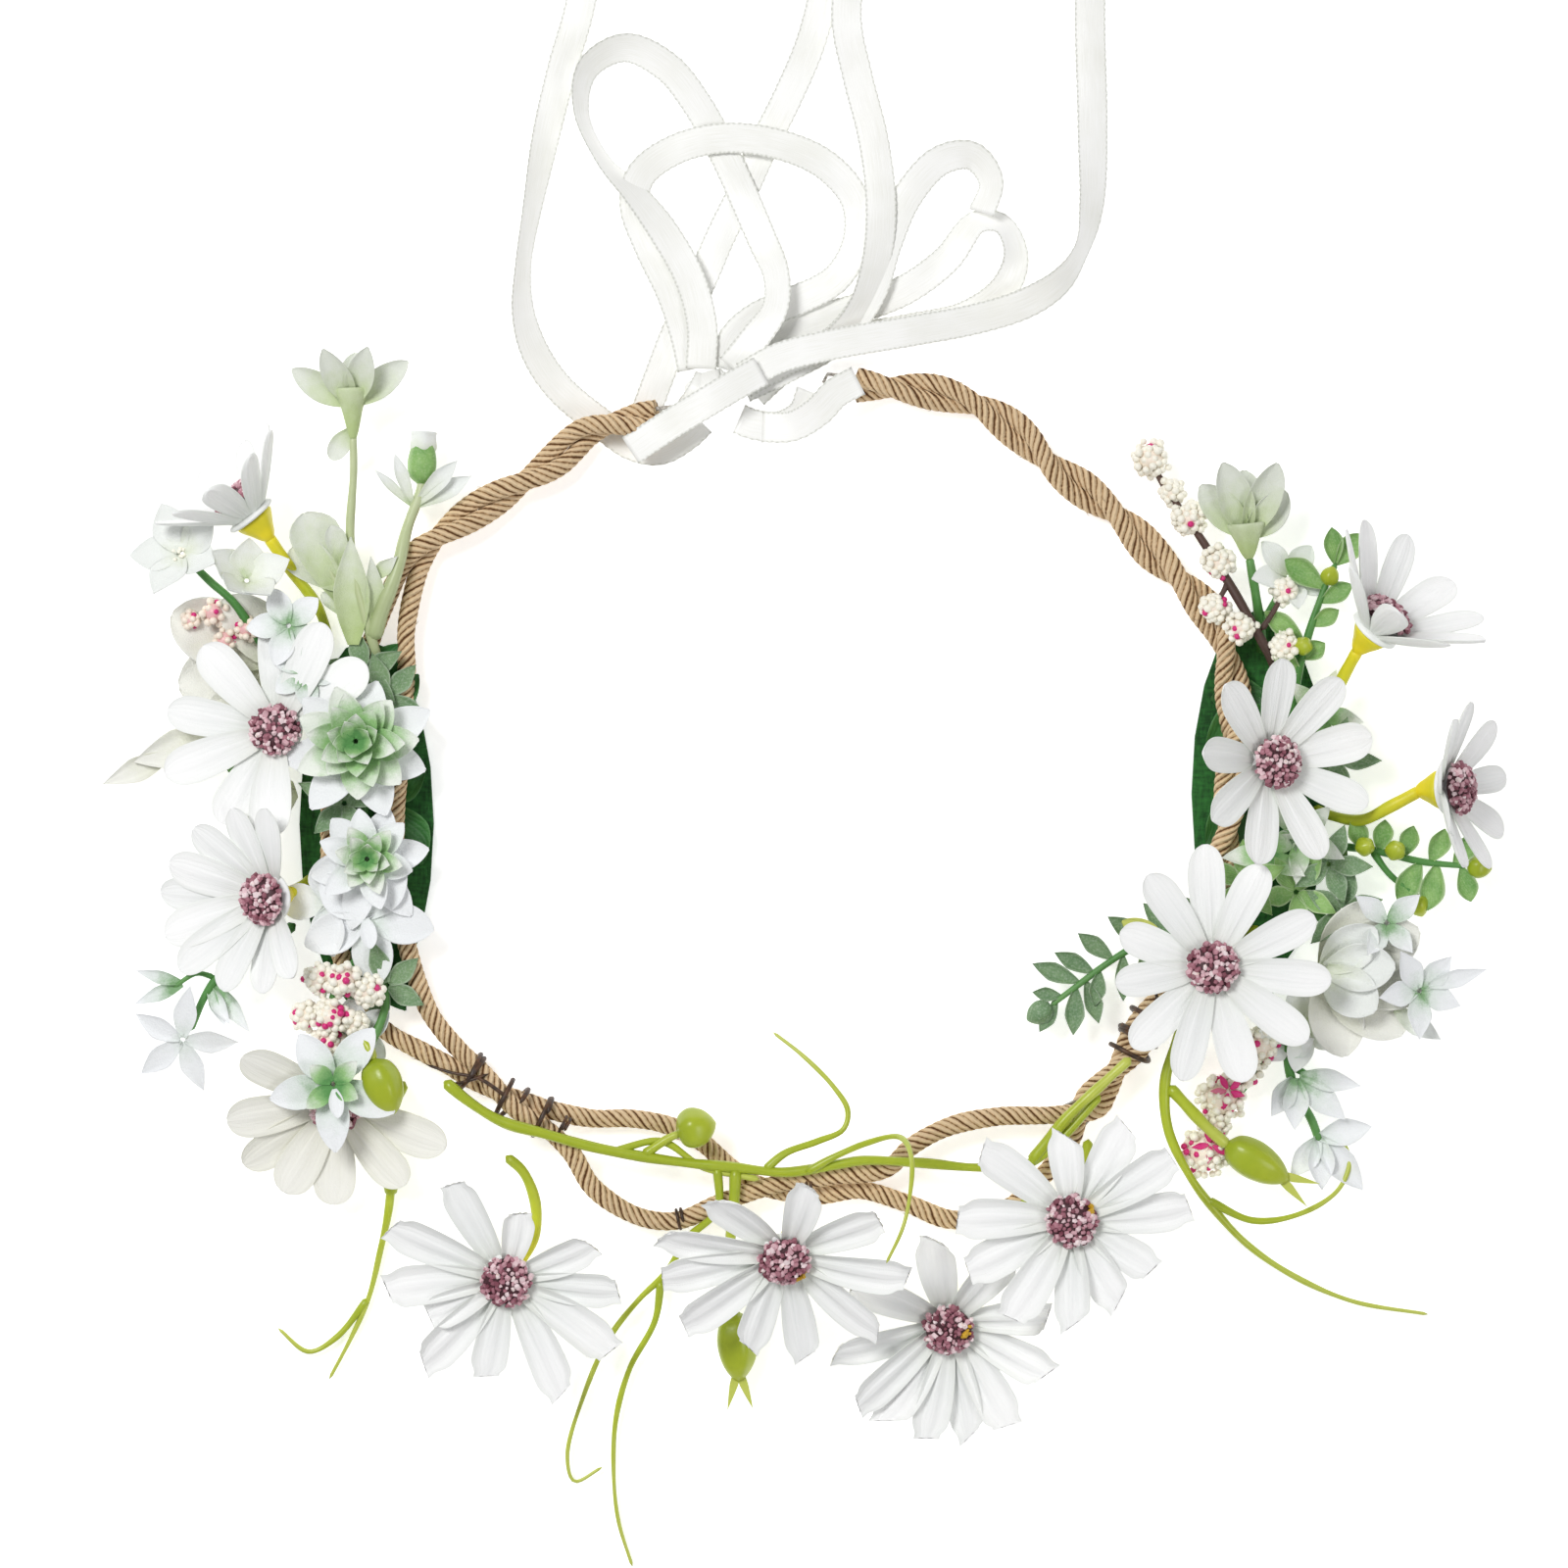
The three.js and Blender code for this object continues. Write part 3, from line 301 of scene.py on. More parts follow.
@dataclass(frozen=True)
class Blade:
    """A petal or leaf: its outline, bends and thickness as functions along and across it."""

    length: float
    width: float
    shoulder: float = 0.66  # share of the length where it is widest
    neck: float = 0.35  # width of its foot, as a share
    roundness: float = 1.0  # 1 for a round tip, 0 for a pointed one
    cup: float = 0.0  # rise of its sides, as a share of its half width
    curl: float = 0.0  # rise of its tip, as a share of its length
    ridge: float = 0.0  # height of the furrows that run along it
    furrows: float = 3.0
    ragged: float = 0.0  # depth of the notches in its tip
    skew: float = 0.0  # how much longer one side of its tip is
    blunt: float = 0.0  # least width of its tip, as a share
    twist: float = 0.0  # turn about its own length at the tip, in degrees
    sway: float = 0.0  # sideways bend of its tip, as a share of its length
    thickness: float = 0.7
    rows: int = 18
    columns: int = 11

    def patch(self, tone: float = 0.5) -> Patch:
        """The closed blade, lying along x with its face up.

        Half width is the neck share growing as a sine to the shoulder, then falling as
        (1 - t^a)^b to the tip. Height is cup (across^2) + curl (along^2) + the furrows, a cosine
        across that dies out at the foot and the tip. The under side is the face moved down by
        the thickness times a half ellipse across.

        Args:
            tone: the tone of the whole blade.

        Returns:
            The patch, whose uv is (across, along).
        """
        ease = np.linspace(0, 1, self.rows)
        v = 1 - (1 - ease) ** 1.5
        across = np.cos(np.linspace(np.pi, 0, self.columns)[::-1])
        rise = np.clip(v / self.shoulder, 0, 1)
        grow = self.neck + (1 - self.neck) * np.sin(np.pi / 2 * rise)
        fall = np.clip((v - self.shoulder) / (1 - self.shoulder), 0, 1)
        tip = (1 - fall ** (1.15 + 1.35 * self.roundness)) ** (0.95 - 0.45 * self.roundness)
        half = self.width / 2 * grow * np.clip(tip, max(0.05 + 0.1 * self.roundness, self.blunt), 1)
        notch = self.ragged * (0.5 - 0.5 * np.cos(np.pi * self.furrows * 2 * across))
        notch = notch + self.skew * across
        x = self.length * v[:, None] - notch[None] * np.clip(fall, 0, 1)[:, None] ** 2
        y = half[:, None] * across[None]
        fade = np.sin(np.pi * np.clip(v * 0.92 + 0.06, 0, 1))[:, None] ** 0.6
        z = self.cup * half[:, None] * across[None] ** 2
        z = z + self.curl * self.length * v[:, None] ** 2
        z = z + self.ridge * np.cos(np.pi * self.furrows * across)[None] * fade
        y = y + self.sway * self.length * v[:, None] ** 2
        turn = np.radians(self.twist) * v[:, None]
        y, z = y * np.cos(turn) - z * np.sin(turn), y * np.sin(turn) + z * np.cos(turn)
        belly = np.sqrt(1 - 0.92 * across**2)[None] * (0.55 + 0.45 * fade)
        top = np.stack([x, y, z + 0 * x], axis=-1)
        under = np.stack([x, y, z - self.thickness * belly], axis=-1)[:, ::-1]
        grid = np.concatenate([top, under], axis=1)
        u = 0.5 - 0.5 * across
        return closed(grid, np.concatenate([u, u[::-1], u[:1]]), v, tone)


def beads(centres: Array, radii: Array, tones: Array) -> Patch:
    """Small smooth balls, each of 48 faces.

    Args:
        centres: one point each.
        radii: one radius each.
        tones: one tone each.

    Returns:
        One patch of them all.
    """
    rows, columns = 5, 8
    polar = np.pi * (np.arange(rows) + 0.5) / rows
    turn = 2 * np.pi * np.arange(columns) / columns
    flat = np.sin(polar)[:, None]
    grid = np.stack([flat * np.cos(turn), flat * np.sin(turn),
                     -np.cos(polar)[:, None] * np.ones(columns)], axis=-1)
    ball = closed(grid, np.zeros(columns + 1), np.zeros(rows))
    ball.points[-2:] = [[0, 0, -1], [0, 0, 1]]
    return repeated(ball, ball.points[None] * radii[:, None, None] + centres[:, None], tones)


def crumbs(centres: Array, sizes: Array, tones: Array, rng: np.random.Generator) -> Patch:
    """Small angular crystals, each a randomly turned and squashed twelve-faced double cone.

    Args:
        centres: one point each.
        sizes: one radius each.
        tones: one tone each.
        rng: the seeded source of chance.

    Returns:
        One patch of them all, with flat faces.
    """
    turn = 2 * np.pi * np.arange(5) / 5
    grid = np.stack([np.stack([r * np.cos(turn), r * np.sin(turn), np.full(5, h)], axis=-1)
                     for r, h in ((0.8, -0.55), (1.0, 0.5))])
    stone = closed(grid, np.zeros(6), np.zeros(2))
    stone.points[-2:] = [[0, 0, -0.8], [0, 0, 0.85]]
    count = len(centres)
    axes = unit(rng.normal(size=(count, 3)))
    other = unit(np.cross(axes, rng.normal(size=(count, 3))))
    turns = np.stack([axes, other, np.cross(axes, other)], axis=1)
    squash = rng.uniform(0.6, 1.15, (count, 1, 3))
    shapes = np.einsum("nij,njk->nik", stone.points[None] * squash, turns)
    patch = repeated(stone, shapes * sizes[:, None, None] + centres[:, None], tones)
    patch.flat = True
    return patch


def repeated(one: Patch, points: Array, tones: Array) -> Patch:
    """Many copies of a patch as one, given each copy's points and tone."""
    count, size = points.shape[:2]
    shift = (np.arange(count) * size)[:, None, None]
    return Patch(points.reshape(-1, 3), (one.quads[None] + shift).reshape(-1, 4),
                 (one.triangles[None] + shift).reshape(-1, 3),
                 np.tile(one.quad_uv, (count, 1, 1)), np.tile(one.triangle_uv, (count, 1, 1)),
                 np.repeat(tones, size), one.flat)


@dataclass(frozen=True)
class Plan:
    """Where the crown's own frame lies in the row frame."""

    shift: Array

    @classmethod
    def from_pad(cls) -> "Plan":
        """The plan read off the left felt pad, whose centre is known in both frames."""
        low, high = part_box("felt_pad_left")
        x, y = ((low[i] + high[i]) / 2 - PAD_LEFT_CENTRE[i] * MM for i in (0, 1))
        return cls(np.array([x, y, 0.0]))

    def row(self, points: Array) -> Array:
        """Crown points in millimetres as row-frame points in metres."""
        return np.asarray(points, float)[..., :3] * MM + self.shift


@dataclass
class Piece:
    """Patches gathered into one named mesh object, which takes the place of its CAD node if any."""

    name: str
    body: str = "crown"
    slot: str = ""
    patches: list[Patch] = field(default_factory=list)
    finishes: list[int] = field(default_factory=list)

    def add(self, *patches: Patch, finish: int = 0) -> "Piece":
        """Adds patches that take the finish of that number."""
        self.patches.extend(patches)
        self.finishes.extend([finish] * len(patches))
        return self

    def build(self, plan: Plan, *materials: Material) -> bpy.types.Object:
        """Makes the object, dresses it and ties it to the frame.

        Args:
            plan: places it in the row frame.
            materials: its finishes, in the order of their numbers.

        Returns:
            The finished object, at the origin.
        """
        starts = np.concatenate([[0], np.cumsum([len(p.points) for p in self.patches])])
        faces, uvs, slots, rounded = [], [], [], []
        for patch, start, finish in zip(self.patches, starts, self.finishes):
            made = (patch.quads + start).tolist() + (patch.triangles + start).tolist()
            faces += made
            uvs += [patch.quad_uv.reshape(-1, 2), patch.triangle_uv.reshape(-1, 2)]
            slots += [finish] * len(made)
            rounded += [not patch.flat] * len(made)
        title = f"{self.name}_finished" if self.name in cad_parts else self.name
        mesh = bpy.data.meshes.new(title)
        mesh.from_pydata(plan.row(np.vstack([p.points for p in self.patches])).tolist(), [], faces)
        mesh.polygons.foreach_set("use_smooth", rounded)
        mesh.polygons.foreach_set("material_index", slots)
        layer = mesh.uv_layers.new(name="UVMap")
        layer.data.foreach_set("uv", np.concatenate(uvs).astype(np.float32).ravel())
        tone = mesh.attributes.new("tone", "FLOAT", "POINT")
        tone.data.foreach_set("value", np.concatenate([p.tone for p in self.patches]).astype(np.float32))
        mesh.validate()
        for material in materials:
            mesh.materials.append(material)
        thing = bpy.data.objects.new(title, mesh)
        bpy.context.scene.collection.objects.link(thing)
        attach(thing, self.body)
        if self.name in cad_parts:
            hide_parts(self.name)
        log.info("%s: %d faces on %s", title, len(faces), self.body)
        return thing


# ---- shaders
class Link:
    """A shader socket that takes part in Python expressions."""

    def __init__(self, graph: "Graph", socket: bpy.types.NodeSocket) -> None:
        """Wraps a socket of that graph."""
        self.graph = graph
        self.socket = socket

    def _math(self, operation: str, *values: "Value") -> "Link":
        """The Math node of that operation on these values."""
        inputs = dict(enumerate(values))
        return self.graph.node("ShaderNodeMath", {"operation": operation}, inputs)

    def __add__(self, other: "Value") -> "Link":
        """self + other."""
        return self._math("ADD", self, other)

    def __sub__(self, other: "Value") -> "Link":
        """self - other."""
        return self._math("SUBTRACT", self, other)

    def __rsub__(self, other: float) -> "Link":
        """other - self."""
        return self._math("SUBTRACT", other, self)

    def __mul__(self, other: "Value") -> "Link":
        """self * other."""
        return self._math("MULTIPLY", self, other)

    def __pow__(self, other: "Value") -> "Link":
        """self to the power other."""
        return self._math("POWER", self, other)

    __radd__ = __add__
    __rmul__ = __mul__

    def wave(self) -> "Link":
        """A sine of this many whole turns, from 0 to 1."""
        return self._math("SINE", self * (2 * math.pi)) * 0.5 + 0.5


Value = Link | float


class Graph:
    """The nodes of one material."""

    def __init__(self, name: str) -> None:
        """Starts an empty material of that name."""
        self.material = bpy.data.materials.new(f"finish_{name}")
        self.material.use_nodes = True
        self.tree = self.material.node_tree
        self.tree.nodes.clear()

    def node(self, kind: str, settings: Mapping[str, object] | None = None,
             inputs: Mapping[object, object] | None = None, output: object = 0) -> Link:
        """Any node: its settings are set first, then its sockets are given values or links.

        Args:
            kind: the node's type.
            settings: its properties; "stops" are a ramp's (place, colour) pairs.
            inputs: its sockets by name or number.
            output: which output is returned.

        Returns:
            That output.
        """
        made = self.tree.nodes.new(kind)
        for key, value in (settings or {}).items():
            if key == "stops":
                self._stops(made.color_ramp, value)
            else:
                setattr(made, key, value)
        for key, value in (inputs or {}).items():
            if isinstance(value, Link):
                self.tree.links.new(value.socket, made.inputs[key])
            else:
                made.inputs[key].default_value = value
        return Link(self, made.outputs[output])

    def _stops(self, ramp: bpy.types.ColorRamp, stops: Sequence[tuple[float, Colour]]) -> None:
        """Puts the stops on a ramp, in order."""
        while len(ramp.elements) < len(stops):
            ramp.elements.new(0.5)
        for element, (place, colour) in zip(ramp.elements, stops):
            element.position = place
            element.color = (*colour, 1.0)

    def place(self) -> Link:
        """The point in object coordinates, in metres."""
        return self.node("ShaderNodeTexCoord", output="Object")

    def uv(self) -> tuple[Link, Link]:
        """The texture place, as across or round, and along."""
        uv = self.node("ShaderNodeUVMap", {"uv_map": "UVMap"})
        split = self.node("ShaderNodeSeparateXYZ", inputs={0: uv}, output="X")
        return split, Link(self, split.socket.node.outputs["Y"])

    def tone(self) -> Link:
        """The tone that the mesh carries."""
        return self.node("ShaderNodeAttribute", {"attribute_name": "tone"}, output="Fac")

    def noise(self, size: float, detail: float = 2.0, stretch: Colour = (1.0, 1.0, 1.0)) -> Link:
        """Noise whose features are about `size` millimetres, in object coordinates."""
        at = self.node("ShaderNodeMapping", inputs={0: self.place(), "Scale": stretch})
        return self.node("ShaderNodeTexNoise", {},
                         {"Vector": at, "Scale": 1 / (size * MM), "Detail": detail})

    def grain(self, size_round: float, size_along: float) -> Link:
        """Noise in the texture's own directions, with that many waves round and along."""
        uv = self.node("ShaderNodeUVMap", {"uv_map": "UVMap"})
        scale = (size_round, size_along, 1.0)
        at = self.node("ShaderNodeMapping", inputs={0: uv, "Scale": scale})
        return self.node("ShaderNodeTexNoise", {"noise_dimensions": "2D"},
                         {"Vector": at, "Scale": 1.0, "Detail": 3.0})

    def ramp(self, value: Link, *stops: tuple[float, Colour]) -> Link:
        """The colour ramp of that value."""
        return self.node("ShaderNodeValToRGB", {"stops": stops}, {0: value})

    def mix(self, factor: Value, first: Link | Colour, second: Link | Colour) -> Link:
        """Two colours mixed."""
        colours = [c if isinstance(c, Link) else (*c, 1.0) for c in (first, second)]
        return self.node("ShaderNodeMix", {"data_type": "RGBA"},
                         {"Factor": factor, 6: colours[0], 7: colours[1]}, 2)

    def bump(self, height: Link, distance: float, strength: float = 1.0) -> Link:
        """The normal of that height, whose whole range is `distance` millimetres."""
        return self.node("ShaderNodeBump", {},
                         {"Height": height, "Distance": distance * MM, "Strength": strength}, "Normal")

    def finish(self, colour: Link | Colour, roughness: Value, normal: Link | None = None,
               **constants: float) -> Material:
        """Ends the material in a Principled shader.

        Args:
            colour: its base colour.
            roughness: its roughness.
            normal: a bump's normal.
            constants: further sockets, with spaces as underscores.

        Returns:
            The material.
        """
        inputs = {"Base Color": colour if isinstance(colour, Link) else (*colour, 1.0),
                  "Roughness": roughness}
        inputs.update({key.replace("_", " "): value for key, value in constants.items()})
        if normal:
            inputs["Normal"] = normal
        surface = self.node("ShaderNodeBsdfPrincipled", inputs=inputs)
        end = self.tree.nodes.new("ShaderNodeOutputMaterial")
        self.tree.links.new(surface.socket, end.inputs[0])
        return self.material


# ---- finishes
@dataclass(frozen=True)
class TwineFinish:
    """Kraft-coloured plied twine: painted shade in its grooves, a darker thread now and then, and fine fibres
    along the plies.
    """

    name: str = "twine"
    light: Colour = srgb(0xE5CAA4)
    middle: Colour = srgb(0xC09C72)
    dark: Colour = srgb(0x604026)

    def make(self) -> Material:
        """The material: painted shade darkens the grooves where the plies meet, and a darker thread runs now
        and then.
        """
        g = Graph(self.name)
        round_, along = g.uv()
        fibres = g.grain(14, 16)
        blotch = g.noise(7, 2)
        turns = round_ * PLIES - along * (10 * PLIES / PLY_PITCH) + (g.noise(1.6) - 0.5) * 0.25
        ply = (turns + 0.25).wave()
        seldom = ((turns * (1 / 3)).wave()) ** 3
        height = ply ** 0.6 + (fibres - 0.5) * 0.5 - seldom * 0.3
        # where ply is low, in the grooves, the ramp takes the dark stop: painted shade; seldom is a darker
        # thread
        colour = g.ramp(height + (blotch - 0.5) * 0.35, (0.02, self.dark), (0.2, self.middle),
                        (0.62, self.light))
        return g.finish(colour, 0.88, g.bump(ply + fibres * 0.6 + g.noise(0.5, 3) * 0.4, 0.5, 0.8),
                        Specular_IOR_Level=0.25)


@dataclass(frozen=True)
class MetalFinish:
    """Bare or enamelled wire, scratched and rubbed here and there."""

    name: str
    dull: Colour
    bright: Colour
    grain: float  # size of the scratches
    detail: float
    stops: tuple[float, float]
    gloss_range: float
    depth: float
    strength: float
    metallic: float

    def make(self) -> Material:
        """The material."""
        g = Graph(self.name)
        worn = g.noise(self.grain, self.detail)
        colour = g.ramp(worn, *zip(self.stops, (self.dull, self.bright)))
        return g.finish(colour, worn * self.gloss_range + 0.3, g.bump(worn, self.depth, self.strength),
                        Metallic=self.metallic)


@dataclass(frozen=True)
class FeltFinish:
    """Dark green pressed felt: crossing fibres over slow blotches."""

    name: str = "felt"
    deep: Colour = srgb(0x104216)
    bright: Colour = srgb(0x2E7630)

    def make(self) -> Material:
        """The material."""
        g = Graph(self.name)
        fibres = g.noise(0.7, 5, (1, 0.25, 1)) * 0.5 + g.noise(0.7, 5, (0.25, 1, 1)) * 0.5
        colour = g.ramp(fibres + (g.noise(14) - 0.5) * 0.4, (0.35, self.deep), (0.68, self.bright))
        return g.finish(colour, 0.9, g.bump(fibres, 0.4, 0.8), Sheen_Weight=0.15)


@dataclass(frozen=True)
class PetalFinish:
    """White pressed fabric: painted soft shade in the furrows, at the foot and along the edges, and a fine
    weave.
    """

    name: str = "petal_fabric"
    tip: Colour = srgb(0xFEFEFE)
    side: Colour = srgb(0xF0F2F1)
    foot: Colour = srgb(0xD6DDD0)

    def make(self) -> Material:
        """The material; tone shifts a whole petal towards its side colour."""
        g = Graph(self.name)
        across, along = g.uv()
        weave = g.noise(0.22, 2)
        furrow = g.grain(9, 1.2)
        # open_ darkens towards the foot and shade darkens in the furrows: painted shade
        open_ = g.ramp(along + (furrow - 0.5) * 0.25, (0.1, self.foot), (0.42, self.side),
                       (0.8, self.tip))
        shade = g.ramp(furrow * 0.5 + g.tone() * 0.5, (0.3, self.side), (0.6, self.tip))
        # edge mixes the sides towards the foot colour: painted shade along each petal's edges
        edge = (across * (1 - across) * 4) ** 0.35
        body = g.mix(0.5, open_, shade)
        colour = g.mix(edge, g.mix(0.35, body, self.foot), body)
        return g.finish(colour, 0.82, g.bump(weave * 0.35 + furrow, 0.35, 0.55),
                        Sheen_Weight=0.12, Specular_IOR_Level=0.25)


@dataclass(frozen=True)
class CrumbFinish:
    """The glued crumbs of a daisy's centre, each with the colour that its tone says, over a dark dome whose
    colour is painted shade.
    """

    name: str = "crumb_button"

    def make(self) -> Material:
        """The material; a tone near 1 is a gold crumb, and a tone near 0 is the dome's near-black, painted
        shade between the crumbs.
        """
        g = Graph(self.name)
        speck = g.noise(0.35, 2)
        colour = g.ramp(g.tone() + (speck - 0.5) * 0.12, (0.0, srgb(0x3A161E)),
                        (0.2, srgb(0x7A404E)), (0.45, srgb(0xB07684)),
                        (0.66, srgb(0xDEB6BE)), (0.84, srgb(0xF4E4E6)),
                        (0.9, srgb(0xD0A428)))
        return g.finish(colour, speck * 0.3 + 0.4, g.bump(speck, 0.12, 0.5))


@dataclass(frozen=True)
class PlasticFinish:
    """Moulded soft plastic whose tone runs between three colours, with a mottled skin."""

    name: str
    low: Colour
    middle: Colour
    high: Colour
    roughness: float = 0.4
    mottle: float = 0.22

    def make(self) -> Material:
        """The material."""
        g = Graph(self.name)
        skin = g.noise(2.6, 3)
        fine = g.noise(0.5, 2)
        colour = g.ramp(g.tone() + (skin - 0.5) * self.mottle, (0.0, self.low), (0.5, self.middle),
                        (1.0, self.high))
        return g.finish(colour, fine * 0.2 + self.roughness - 0.1, g.bump(skin + fine * 0.3, 0.15, 0.4))


@dataclass(frozen=True)
class LeafFinish:
    """A moulded leaf: a paler vein and rim, mottled blade, and powder that lightens it."""

    name: str
    blade: Colour
    light: Colour
    rim: Colour
    powder: float = 0.3
    roughness: float = 0.6

    def make(self) -> Material:
        """The material; tone lightens a whole leaf."""
        g = Graph(self.name)
        across, along = g.uv()
        dust = g.noise(0.45, 4)
        blotch = g.noise(3.2, 2)
        body = g.ramp(blotch * 0.6 + g.tone() * 0.5, (0.3, self.blade), (0.75, self.light))
        middle = across * (1 - across) * 4
        rim = g.ramp(1 - middle, (0.55, (0.0, 0.0, 0.0)), (0.95, (1.0, 1.0, 1.0)))
        powdery = g.ramp(dust, (0.45, (0.0, 0.0, 0.0)), (0.8, (1.0, 1.0, 1.0)))
        dusted = g.mix(powdery * self.powder, body, self.rim)
        colour = g.mix(rim * 0.55, dusted, self.rim)
        veins = (across * 9 + along * 5).wave()
        return g.finish(colour, dust * 0.2 + self.roughness - 0.1,
                        g.bump(dust * 0.5 + veins * 0.3, 0.2, 0.6))


@dataclass(frozen=True)
class TippedFinish:
    """A flocked or cloth leaf that goes from a green foot to a white tip."""

    name: str
    foot: Colour
    middle: Colour
    tip: Colour
    change: tuple[float, float, float] = (0.05, 0.45, 0.85)
    grain: float = 0.35
    roughness: float = 0.85

    def make(self) -> Material:
        """The material; tone moves the change of colour towards the tip."""
        g = Graph(self.name)
        _, along = g.uv()
        pile = g.noise(self.grain, 4)
        blotch = g.noise(2.4, 3)
        way = along + (g.tone() - 0.5) * 0.9 + (blotch - 0.5) * 0.5 + (pile - 0.5) * 0.25
        colour = g.ramp(way, *zip(self.change, (self.foot, self.middle, self.tip)))
        return g.finish(colour, self.roughness, g.bump(pile, 0.25, 0.7), Sheen_Weight=0.1,
                        Specular_IOR_Level=0.2)


@dataclass(frozen=True)
class SatinFinish:
    """White satin ribbon: a glossy face, ribs across it and a woven edge."""

    name: str = "satin"
    face: Colour = srgb(0xFDFDFB)
    shade: Colour = srgb(0xF2F2EC)
    edge: Colour = srgb(0xCCCEC4)

    def make(self) -> Material:
        """The material; uv is (across, millimetres along / 10)."""
        g = Graph(self.name)
        across, along = g.uv()
        ribs = (along * 9).wave()
        threads = g.grain(60, 1.5)
        rim = g.ramp((across * (1 - across) * 4), (0.12, (1.0, 1.0, 1.0)), (0.3, (0.0, 0.0, 0.0)))
        body = g.ramp(threads * 0.5 + g.noise(12) * 0.5, (0.35, self.shade), (0.6, self.face))
        colour = g.mix(rim * (ribs * 0.5 + 0.3), body, self.edge)
        height = rim * ribs + threads * 0.25
        return g.finish(colour, rim * 0.25 + 0.34, g.bump(height, 0.12, 0.8), Sheen_Weight=0.25)


class Finish(Enum):
    """Every finish of the crown; `use` makes its material once."""

    TWINE = TwineFinish()
    WIRE = MetalFinish("floral_wire", srgb(0x342116), srgb(0x68462C), 1.6, 3, (0.45, 0.75), 0.3, 0.1, 0.5, 0)
    STEEL = MetalFinish("steel_wire", srgb(0x78726A), srgb(0xB0ACA5), 0.4, 4, (0.35, 0.65), 0.25, 0.05,
                        0.4, 1)
    FELT = FeltFinish()
    PETAL = PetalFinish()
    PETAL_WARM = PetalFinish("petal_fabric_cream", srgb(0xFAF9F2), srgb(0xECEBDF),
                             srgb(0xD2D4BA))
    CRUMB = CrumbFinish()
    CALYX = PlasticFinish("calyx", srgb(0x8A9E24), srgb(0xBEC62C), srgb(0xF8E222), 0.45)
    VINE = PlasticFinish("vine_plastic", srgb(0x7A941A), srgb(0xACBA2C), srgb(0xD2D676), 0.32)
    DARK_STEM = PlasticFinish("dark_stem", srgb(0x1E5C1E), srgb(0x4C863E), srgb(0x88B272), 0.5)
    BROWN_STEM = PlasticFinish("brown_stem", srgb(0x30221C), srgb(0x543C34), srgb(0x786054), 0.6)
    PALE_STEM = PlasticFinish("pale_stem", srgb(0x96A870), srgb(0xBEC89C), srgb(0xDEE2CC))
    BOXWOOD = LeafFinish("boxwood_leaf", srgb(0x548E3E), srgb(0x96BE70), srgb(0xD4E2BE))
    DUSTY = LeafFinish("eucalyptus_leaf", srgb(0x547C52), srgb(0x82A074), srgb(0xBCCCB6),
                       0.55)
    DEEP = LeafFinish("deep_leaf", srgb(0x144E1A), srgb(0x327430), srgb(0x548C4C), 0.15, 0.45)
    FLOCKED = TippedFinish("flocked_plastic", srgb(0x649C5C), srgb(0x9EC888),
                           srgb(0xF0F4EC), (0.05, 0.42, 0.85))
    WHITE_FLOCKED = TippedFinish("white_flocked", srgb(0x8CB284), srgb(0xE2EAE4),
                                 srgb(0xF4F6F8), (0.0, 0.32, 0.7))
    BLOSSOM = TippedFinish("blossom_fabric", srgb(0xB0C48E), srgb(0xDEE4D2),
                           srgb(0xF0F3F0), (0.0, 0.3, 0.8), 0.25, 0.7)
    PALE_GREEN = TippedFinish("pale_green_cloth", srgb(0xB6C88C), srgb(0xCCD8B2),
                              srgb(0xE4E8DE), (0.0, 0.45, 0.95), 0.25, 0.6)
    CREAM = TippedFinish("cream_cloth", srgb(0xC6CEA8), srgb(0xE6E7D6), srgb(0xF3F3EC),
                         (0.0, 0.4, 0.9), 0.3, 0.75)
    BERRY = PlasticFinish("berry_beads", srgb(0xD6247A), srgb(0xFAF4E2), srgb(0xFDFCF4),
                          0.38, 0.1)
    SATIN = SatinFinish()

    def use(self) -> Material:
        """Its material, made on the first call."""
        return bpy.data.materials.get(f"finish_{self.value.name}") or self.value.make()


